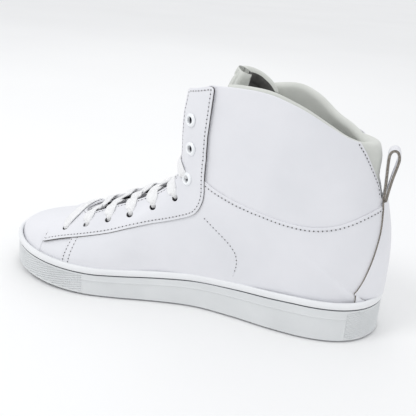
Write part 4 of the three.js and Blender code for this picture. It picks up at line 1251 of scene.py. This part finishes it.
def tongue_point(t, k, depth):
    """t along the tongue, k across it in -1..1, depth below its outer face."""
    half = curve_through([0, 5, 6.4, 8, 12], [20, 22, 21.5, 24, 19.5], t)
    half = np.where(k < 0, curve_through([0, 5, 6.4, 8, 10, 12], [20, 22, 21.5, 26, 37, 45], t), half)
    radius = curve_through([0, 3, 4.5, 6, 8, 12], [40, 36, 28, 23, 22, 22], t)
    radius = np.where(k < 0, curve_through([0, 3, 4.5, 6, 8, 12], [40, 36, 28, 23, 22, 20.6], t), radius)
    x, z = curve_through(TONGUE_T, TONGUE_X, t), curve_through(TONGUE_T, TONGUE_Z, t)
    dx = curve_through(TONGUE_T, TONGUE_X, t + 0.05) - curve_through(TONGUE_T, TONGUE_X, t - 0.05)
    dz = curve_through(TONGUE_T, TONGUE_Z, t + 0.05) - curve_through(TONGUE_T, TONGUE_Z, t - 0.05)
    slope = np.hypot(dx, dz)
    bend = half / radius * k
    angle = np.clip(bend, -WING_BEND, WING_BEND)
    straight = (bend - angle) * radius
    drop = radius - (radius - depth) * np.cos(angle) + np.abs(straight) * math.sin(WING_BEND)
    y = (radius - depth) * np.sin(angle) + straight * math.cos(WING_BEND)
    return np.stack([x - dz / slope * drop, swing(x) * 0.8 + y, z + dx / slope * drop], -1)


def tongue_surface(t, k, inner):
    """Padded body: a fat rolled rim round the top and sides, a shallow seam inside it."""
    top_t = TONGUE_TOP + np.where(k > 0, 0.42 * ease(k / 0.7) - 0.6 * np.abs(k) ** 6,
                                  -0.45 * np.abs(k) ** 5)
    t = t * top_t / TONGUE_TOP
    thickness = curve_through([0, 6, 9, 12], [2, 4, 8, 9], t)
    run = np.minimum((top_t - t) * 13.5, (1 - np.abs(k)) * 27)
    fade = ease((t - 6.2) / 1.5)
    full = np.sqrt(np.clip(1 - (1 - np.clip(run / 4.2, 0, 1)) ** 2, 0.003, 1))
    seam_dip = 1.1 * np.exp(-((run - 8.0) / 0.9) ** 2) * fade
    swell = 0.5 * np.sin(np.clip(run / 8.0, 0, 1) * math.pi) * fade
    half = thickness / 2 * full
    under_laces = 2.8 * ease((t - 2.5) / 1.0) * ease((8.2 - t) / 1.2)
    if inner:
        depth = thickness / 2 + half - seam_dip * 0.6 + swell * 0.3 - under_laces * 0.5
    else:
        depth = thickness / 2 - half + seam_dip - swell * 0.5 + 0.15 - under_laces
    return tongue_point(t, k, depth)


def add_tongue():
    rows, cols = 150, 60
    t = (TONGUE_TOP * np.concatenate([np.linspace(0, 0.9, 110),
                                      0.9 + 0.1 * np.sin(np.linspace(0, math.pi / 2, 41)[1:])]))
    k = np.sin(np.linspace(-math.pi / 2, math.pi / 2, cols)) * 0.5 + np.linspace(-1, 1, cols) * 0.5
    tt, kk = np.meshgrid(t, k, indexing="ij")
    outer, inner = tongue_surface(tt, kk, False).reshape(-1, 3), tongue_surface(tt, kk, True).reshape(-1,
                                                                                                      3)
    rows = len(t)
    faces = grid_faces(rows, cols)
    n = len(outer)
    rim = [i * cols for i in range(rows)] + [(rows - 1) * cols + j for j in range(1, cols)] \
        + [i * cols + cols - 1 for i in range(rows - 2, -1, -1)] + list(range(cols - 2, 0, -1))
    sides = [[rim[i], rim[(i + 1) % len(rim)], rim[(i + 1) % len(rim)] + n, rim[i] + n]
             for i in range(len(rim))]
    # Only the visible upper part of the inner face takes the near-black lining, partly painted shade
    # inside the tongue.
    lining_and_shade_faces = [1 if 6.5 < tt.flat[f[0]] < 11.85 and -0.97 < kk.flat[f[0]] < 0.93 else 0 for f in faces]
    # The outer face below t 8.7 is the upper's white leather, lighter than the pad leather: partly a real
    # white tongue base and partly painted light against the shade between the laces.
    kinds = [2 if tt.flat[f[0]] < 8.7 else 0 for f in faces] + lining_and_shade_faces + [0] * len(sides)
    obj = make_object("padded_tongue", np.vstack([outer, inner]),
                      [f[::-1] for f in faces] + [[v + n for v in f] for f in faces] + sides,
                      [PAD_LEATHER, TONGUE_LINING_AND_SHADE, LEATHER], kinds, sharp=60)
    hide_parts("tongue_base", "tongue_top")
    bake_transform(obj)


def add_tongue_label():
    rows, cols = 26, 36
    t, k = np.meshgrid(np.linspace(9.5, 11.0, rows), np.linspace(-0.4, 0.4, cols), indexing="ij")
    edge = np.minimum(np.minimum(t - 9.5, 11.0 - t) * 13, (0.4 - np.abs(k)) * 27)
    lift = 0.5 + 0.5 * ease(edge / 0.8)
    base = tongue_surface(t * 1.003, k, True)
    away = tongue_surface(t, k, True) - tongue_surface(t, k, False)
    away /= np.linalg.norm(away, axis=-1, keepdims=True)
    top = (base + away * lift[..., None]).reshape(-1, 3)
    low = (base - away * 0.3).reshape(-1, 3)
    faces = grid_faces(rows, cols)
    n = len(top)
    rim = [i * cols for i in range(rows)] + [(rows - 1) * cols + j for j in range(1, cols)] \
        + [i * cols + cols - 1 for i in range(rows - 2, -1, -1)] + list(range(cols - 2, 0, -1))
    sides = [[rim[i], rim[(i + 1) % len(rim)], rim[(i + 1) % len(rim)] + n, rim[i] + n]
             for i in range(len(rim))]
    obj = make_object("tongue_label_cloth", np.vstack([top, low]),
                      faces + [[v + n for v in f[::-1]] for f in faces] + sides, [LABEL_CLOTH], sharp=50)
    settle(obj, ["tongue_label"], "tongue")


# ---- Lacing ------------------------------------------------------------------------------------
LACE_WIDTH, LACE_THICKNESS = 9.4, 1.5
PINCHED_WIDTH, PINCHED_THICKNESS = 4.2, 2.4


def lace_at(q, s, offset, pinch=0.0):
    """Centre, facing direction and pinch of the lace at a place on the upper."""
    spot = np.array([[q, s]], float)
    return (place(spot, front_chart, np.array([offset]))[0], surface_normal(q, s), pinch)


def crossing(row, side, under):
    (q0, s0), (q1, s1) = HOLES[row], HOLES[row + 1]
    pitch = q1 - q0

    def q(share):
        return q0 + pitch * share

    def edge(share):
        return float(throat_reach(q(share)))

    low = -2.9 if under else -1.1
    lift = 3.4 if row + 1 >= FIRST_RINGED else 2.7
    return [
        lace_at(q0, side * s0, -2.6, 1), lace_at(q(0.02), side * (s0 - 0.01), -4.6, 0.9),
        lace_at(q(0.1), side * (s0 - 0.045), -5.2, 0.5),
        lace_at(q(0.28), side * edge(0.5) * 0.85, -5.0, 0.1),
        lace_at(q(0.5), side * 0.02, low, 0), lace_at(q(0.7), -side * (edge(0.8) - 0.07), -0.6, 0),
        lace_at(q(0.82), -side * (edge(0.9) - 0.012), lift - 0.2, 0.05),
        lace_at(q(0.92), -side * (s1 - 0.06), lift + 0.35, 0.1),
        lace_at(q(0.975), -side * (s1 - 0.036), lift - 0.1, 0.6),
        lace_at(q(0.985), -side * (s1 - 0.016), 0.7, 1)]


def lace_route():
    q, s = HOLES[0]
    bar = [lace_at(q, s, -0.6, 1), lace_at(q, s * 0.97, 1.6, 1), lace_at(q, s * 0.86, 2.6, 0.6),
           lace_at(q, s * 0.6, 2.75, 0.1), lace_at(q, s * 0.3, 2.75, 0), lace_at(q, 0, 2.75, 0),
           lace_at(q, -s * 0.3, 2.75, 0), lace_at(q, -s * 0.6, 2.75, 0.1),
           lace_at(q, -s * 0.86, 2.6, 0.6),
           lace_at(q, -s * 0.97, 1.6, 1), lace_at(q, -s, -0.6, 1)]

    def run(side, under):
        points = []
        for row in range(LACED_ROWS - 1):
            points += crossing(row, side, under)
            side = -side
        last_q, last_s = HOLES[LACED_ROWS - 1]
        points.append(lace_at(last_q, side * last_s, -3.5, 1))
        points.append(lace_at(last_q, side * (last_s + 0.01), -5.2, 0.9))
        return points

    return run(1, True)[::-1] + bar + run(-1, False)


def flat_lace(centres, facings, pinches, steps):
    """A flat woven band: points, faces, lengthwise and crosswise coordinates, and its centre line."""
    data = spline(np.hstack([centres, facings, np.asarray(pinches)[:, None]]), steps)
    centre, facing, pinch = data[:, :3], data[:, 3:6], np.clip(data[:, 6], 0, 1)
    tangent = np.gradient(centre, axis=0)
    tangent /= np.linalg.norm(tangent, axis=1, keepdims=True)
    across = np.cross(tangent, facing)
    for i in range(1, len(across)):
        if (across[i] * across[i - 1]).sum() < 0:
            across[i] = -across[i]
    for _ in range(3):
        across[1:-1] = across[:-2] + 2 * across[1:-1] + across[2:]
        across -= tangent * (across * tangent).sum(1, keepdims=True)
        across /= np.maximum(np.linalg.norm(across, axis=1, keepdims=True), 1e-9)
    up = np.cross(across, tangent)
    sides = 20
    turn = np.linspace(0, 2 * math.pi, sides, endpoint=False)
    ca, sa = np.cos(turn), np.sin(turn)
    shape_x = np.sign(ca) * np.abs(ca) ** 0.55
    shape_z = np.sign(sa) * np.abs(sa) ** 0.75
    width = LACE_WIDTH + (PINCHED_WIDTH - LACE_WIDTH) * pinch
    thick = LACE_THICKNESS + (PINCHED_THICKNESS - LACE_THICKNESS) * pinch
    cup = 0.25 + 0.5 * np.abs(pinch * (1 - pinch)) * 4
    length = np.concatenate([[0], np.cumsum(np.linalg.norm(np.diff(centre, axis=0), axis=1))])
    rib = 1 + 0.05 * np.sin(length * 2 * math.pi / 1.5)[:, None] * np.ones(sides)
    x = width[:, None] / 2 * shape_x
    z = thick[:, None] / 2 * shape_z * rib - cup[:,
                                                 None] * (np.abs(shape_x) ** 2) * (1 - pinch[:, None]
                                                                                   * 0.5)
    rings = centre[:, None] + across[:, None] * x[..., None] + up[:, None] * z[..., None]
    rows = len(centre)
    faces = grid_faces(rows, sides, closed=True)
    faces += [list(range(sides))[::-1], [(rows - 1) * sides + k for k in range(sides)]]
    uvs = np.stack([np.repeat(length, sides), np.tile(shape_x * 3.7, rows)], -1)
    return rings.reshape(-1, 3), [f[::-1] for f in faces], uvs, centre


def add_lace():
    route = lace_route()
    points, faces, uvs, centre = flat_lace([r[0] for r in route], [r[1] for r in route],
                                           [r[2] for r in route], 7)
    obj = make_object("flat_lace", points, faces, [COTTON], uvs=uvs, sharp=70)
    settle(obj, ["lace"])
    return float(np.linalg.norm(np.diff(centre, axis=0), axis=1).sum())


def insole_spot(x, side, inset):
    return [x, float(swing(x) + side * (half_width(x, side, UPPER_INSET) - inset)),
            float(last_height(x)) + 8.9]


TAIL_DIAMETER = 3.0


def tail_points(side):
    q, s = HOLES[LACED_ROWS - 1]
    spots = [(q, s, -6.75), (q + 0.1, s + 0.05, -6.7), (13.6, 0.42, -6.7), (13.4, 0.55, -6.7),
             (13, 0.68, -7),
             (12.6, 0.8, -7.4)]
    inside = [place(np.array([[a, side * b]]), front_chart, np.array([c]))[0] for a, b, c in spots]
    along = [(-28, 9), (-12, 9.5), (8, 10), (28, 10.5), (48, 11), (68, 11.5), (88, 12), (104, 13.5)]
    return np.vstack([inside, [insole_spot(x, side, inset) for x, inset in along]])


def add_tail(side, hand):
    """Free end of the lace, gathered to a cord and tucked inside past the tongue."""
    route = spline(tail_points(side), 6)
    curve = bpy.data.curves.new(f"lace_tail_{hand}_cord", "CURVE")
    curve.dimensions = "3D"
    curve.bevel_depth = TAIL_DIAMETER / 2 * MM
    curve.bevel_resolution = 5
    curve.use_fill_caps = True
    line = curve.splines.new("POLY")
    line.points.add(len(route) - 1)
    for point, spot in zip(line.points, in_metres(route)):
        point.co = (*spot, 1)
    curve.materials.append(COTTON)
    tail = bpy.data.objects.new(f"lace_tail_{hand}_cord", curve)
    bpy.context.collection.objects.link(tail)
    settle(tail, [f"lace_tail_{hand}"])
    away = route[-1] - route[-2]
    away /= np.linalg.norm(away)
    tip = add_aglet(hand, route[-1], away)


def add_aglet(hand, start, away):
    side = np.cross(away, [0, 0, 1.0])
    side /= np.linalg.norm(side)
    up = np.cross(side, away)
    turn = np.linspace(0, 2 * math.pi, 16, endpoint=False)
    profile = [(0.3, 1.35), (0.6, 1.5), (2.0, 1.52), (2.4, 1.42), (2.8, 1.52), (19.5, 1.48), (21.4, 1.38),
               (21.9, 1.1)]
    rings = np.vstack([start + away * t + r * (np.cos(turn)[:, None] * side + np.sin(turn)[:, None] * up)
                       for t, r in profile])
    faces = grid_faces(len(profile), 16, closed=True)
    faces += [list(range(16))[::-1], [(len(profile) - 1) * 16 + k for k in range(16)]]
    obj = make_object(f"aglet_{hand}_plastic", rings, faces, [PLASTIC])
    return settle(obj, [f"aglet_{hand}"])


def add_rings():
    profile = [(2.45, 1.9), (2.5, 2.6), (2.72, 3.02), (3.1, 3.22), (3.6, 3.2), (4.2, 2.98), (4.7, 2.55),
               (4.95, 2.1),
               (5.0, 1.85), (4.6, 1.8), (3.0, 1.8), (3.0, -4.9), (2.5, -5.0)]
    count = 40
    turn = np.linspace(0, 2 * math.pi, count, endpoint=False)
    for side, hand in ((1, "left"), (-1, "right")):
        for k, (q, s) in enumerate(HOLES[FIRST_RINGED:]):
            centre, normal = surface_point(q, side * s), surface_normal(q, side * s)
            first = np.cross(normal, [0, 0, 1.0])
            first /= np.linalg.norm(first)
            second = np.cross(normal, first)
            rings = np.vstack([centre + normal * h + r
                               * (np.cos(turn)[:, None] * first + np.sin(turn)[:, None] * second)
                               for r, h in profile + profile[:1]])
            faces = grid_faces(len(profile) + 1, count, closed=True)
            obj = make_object(f"enamel_ring_{hand}_{k + 1}", rings, faces, [ENAMEL], sharp=50)
            settle(obj, [f"eyelet_ring_{hand}_{k + 1}"])


# ---- Pull loop ---------------------------------------------------------------------------------
LOOP_LINE = [(-137.6, 98.5), (-138, 103), (-138.4, 110), (-139.2, 118), (-140.4, 126), (-140.9, 131.5),
             (-139.6, 135.8),
             (-137.2, 137.1), (-134.9, 135.6), (-134.2, 131.5), (-135, 121), (-135.8, 112), (-136.2, 105),
             (-136.0, 99)]
LOOP_WIDTH = 12.0
LOOP_THICKNESS = 2.2


def add_pull_loop():
    line = spline(LOOP_LINE, 6)
    tangent = np.gradient(line, axis=0)
    tangent /= np.linalg.norm(tangent, axis=1, keepdims=True)
    out = np.stack([-tangent[:, 1], tangent[:, 0]], -1)
    half, thick = LOOP_WIDTH / 2, LOOP_THICKNESS / 2
    section = [(-half, thick - 0.2), (-half + 0.25, thick), (-half + 1.6, thick - 0.12),
               (-half * 0.5, thick + 0.05),
               (0, thick + 0.1), (half * 0.5, thick + 0.05), (half - 1.6, thick - 0.12),
               (half - 0.25, thick),
               (half, thick - 0.2), (half, -thick + 0.2), (half - 0.25, -thick), (0, -thick),
               (-half + 0.25, -thick),
               (-half, -thick + 0.2)]
    rings = []
    for (x, z), (ox, oz) in zip(line, out):
        rings += [(x + ox * t, y, z + oz * t) for y, t in section]
    n = len(section)
    faces = grid_faces(len(line), n, closed=True)
    kinds = [1 if j in (8, 13) else 0 for _ in range(len(line) - 1) for j in range(n)]
    faces += [list(range(n))[::-1], [(len(line) - 1) * n + k for k in range(n)]]
    obj = make_object("pull_loop_leather", rings, faces, [LEATHER, TAN_EDGE], kinds + [1, 1], sharp=45)
    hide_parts("pull_tab")
    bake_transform(obj)


# ---- Room --------------------------------------------------------------------------------------
def add_floor():
    size = 60.0
    mesh = bpy.data.meshes.new("floor")
    mesh.from_pydata([(-size, -size, -0.0004), (size, -size, -0.0004), (size, size, -0.0004),
                      (-size, size, -0.0004)], [],
                     [(0, 1, 2, 3)])
    f = Finish("floor_white", 0.9, 0.1)
    f.colour(f.noise(0.002, 3), (0.90, 0.90, 0.895), (0.92, 0.92, 0.915), 0.3, 0.7)
    mesh.materials.append(f.material)
    floor = bpy.data.objects.new("floor", mesh)
    bpy.context.collection.objects.link(floor)


def add_light(name, place, target, size, watts, colour=(1, 1, 1)):
    light = bpy.data.lights.new(name, "AREA")
    light.shape = "DISK"
    light.size = size
    light.energy = watts
    light.color = colour
    obj = bpy.data.objects.new(name, light)
    obj.location = place
    ahead = Vector(target) - Vector(place)
    obj.rotation_euler = ahead.to_track_quat("-Z", "Y").to_euler()
    bpy.context.collection.objects.link(obj)


def add_world():
    world = bpy.data.worlds.new("studio")
    world.use_nodes = True
    world.node_tree.nodes["Background"].inputs["Color"].default_value = (0.97, 0.98, 1.0, 1)
    world.node_tree.nodes["Background"].inputs["Strength"].default_value = 0.93
    bpy.context.scene.world = world
    bpy.context.scene.view_settings.view_transform = "Standard"


def add_room():
    add_floor()
    add_world()
    add_light("key", (0.6, 0.55, 1.3), (0, 0, 0.05), 0.5, 4.4)
    add_light("back", (0.35, -1.0, 1.1), (0, 0, 0.05), 0.9, 1.2)


def finish_hidden_layers():
    """Materials for the CAD layers that stay as they are, inside the shoe."""
    for name, material in (("midsole_foam", FOAM), ("strobel_board", BOARD), ("toe_puff", BOARD),
                           ("heel_counter", BOARD)):
        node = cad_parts[name]
        node.data.materials.clear()
        node.data.materials.append(material)


# ---- Assembly ----------------------------------------------------------------------------------
lace_length = add_lace()
for hand_side, hand_name in ((MEDIAL_SIDE, "left"), (LATERAL_SIDE, "right")):
    add_tail(hand_side, hand_name)
add_cupsole()
add_toe_cap()
add_vamp()
for hand_side, hand_name in ((MEDIAL_SIDE, "left"), (LATERAL_SIDE, "right")):
    add_quarter(hand_side, hand_name)
    add_collar_panel(hand_side, hand_name)
add_eyestay()
add_painted_hole_shade()
add_backstay()
add_collar_pad()
add_linings()
add_all_stitching()
add_sockliner()
add_tongue()
add_tongue_label()
add_rings()
add_pull_loop()
finish_hidden_layers()
add_room()
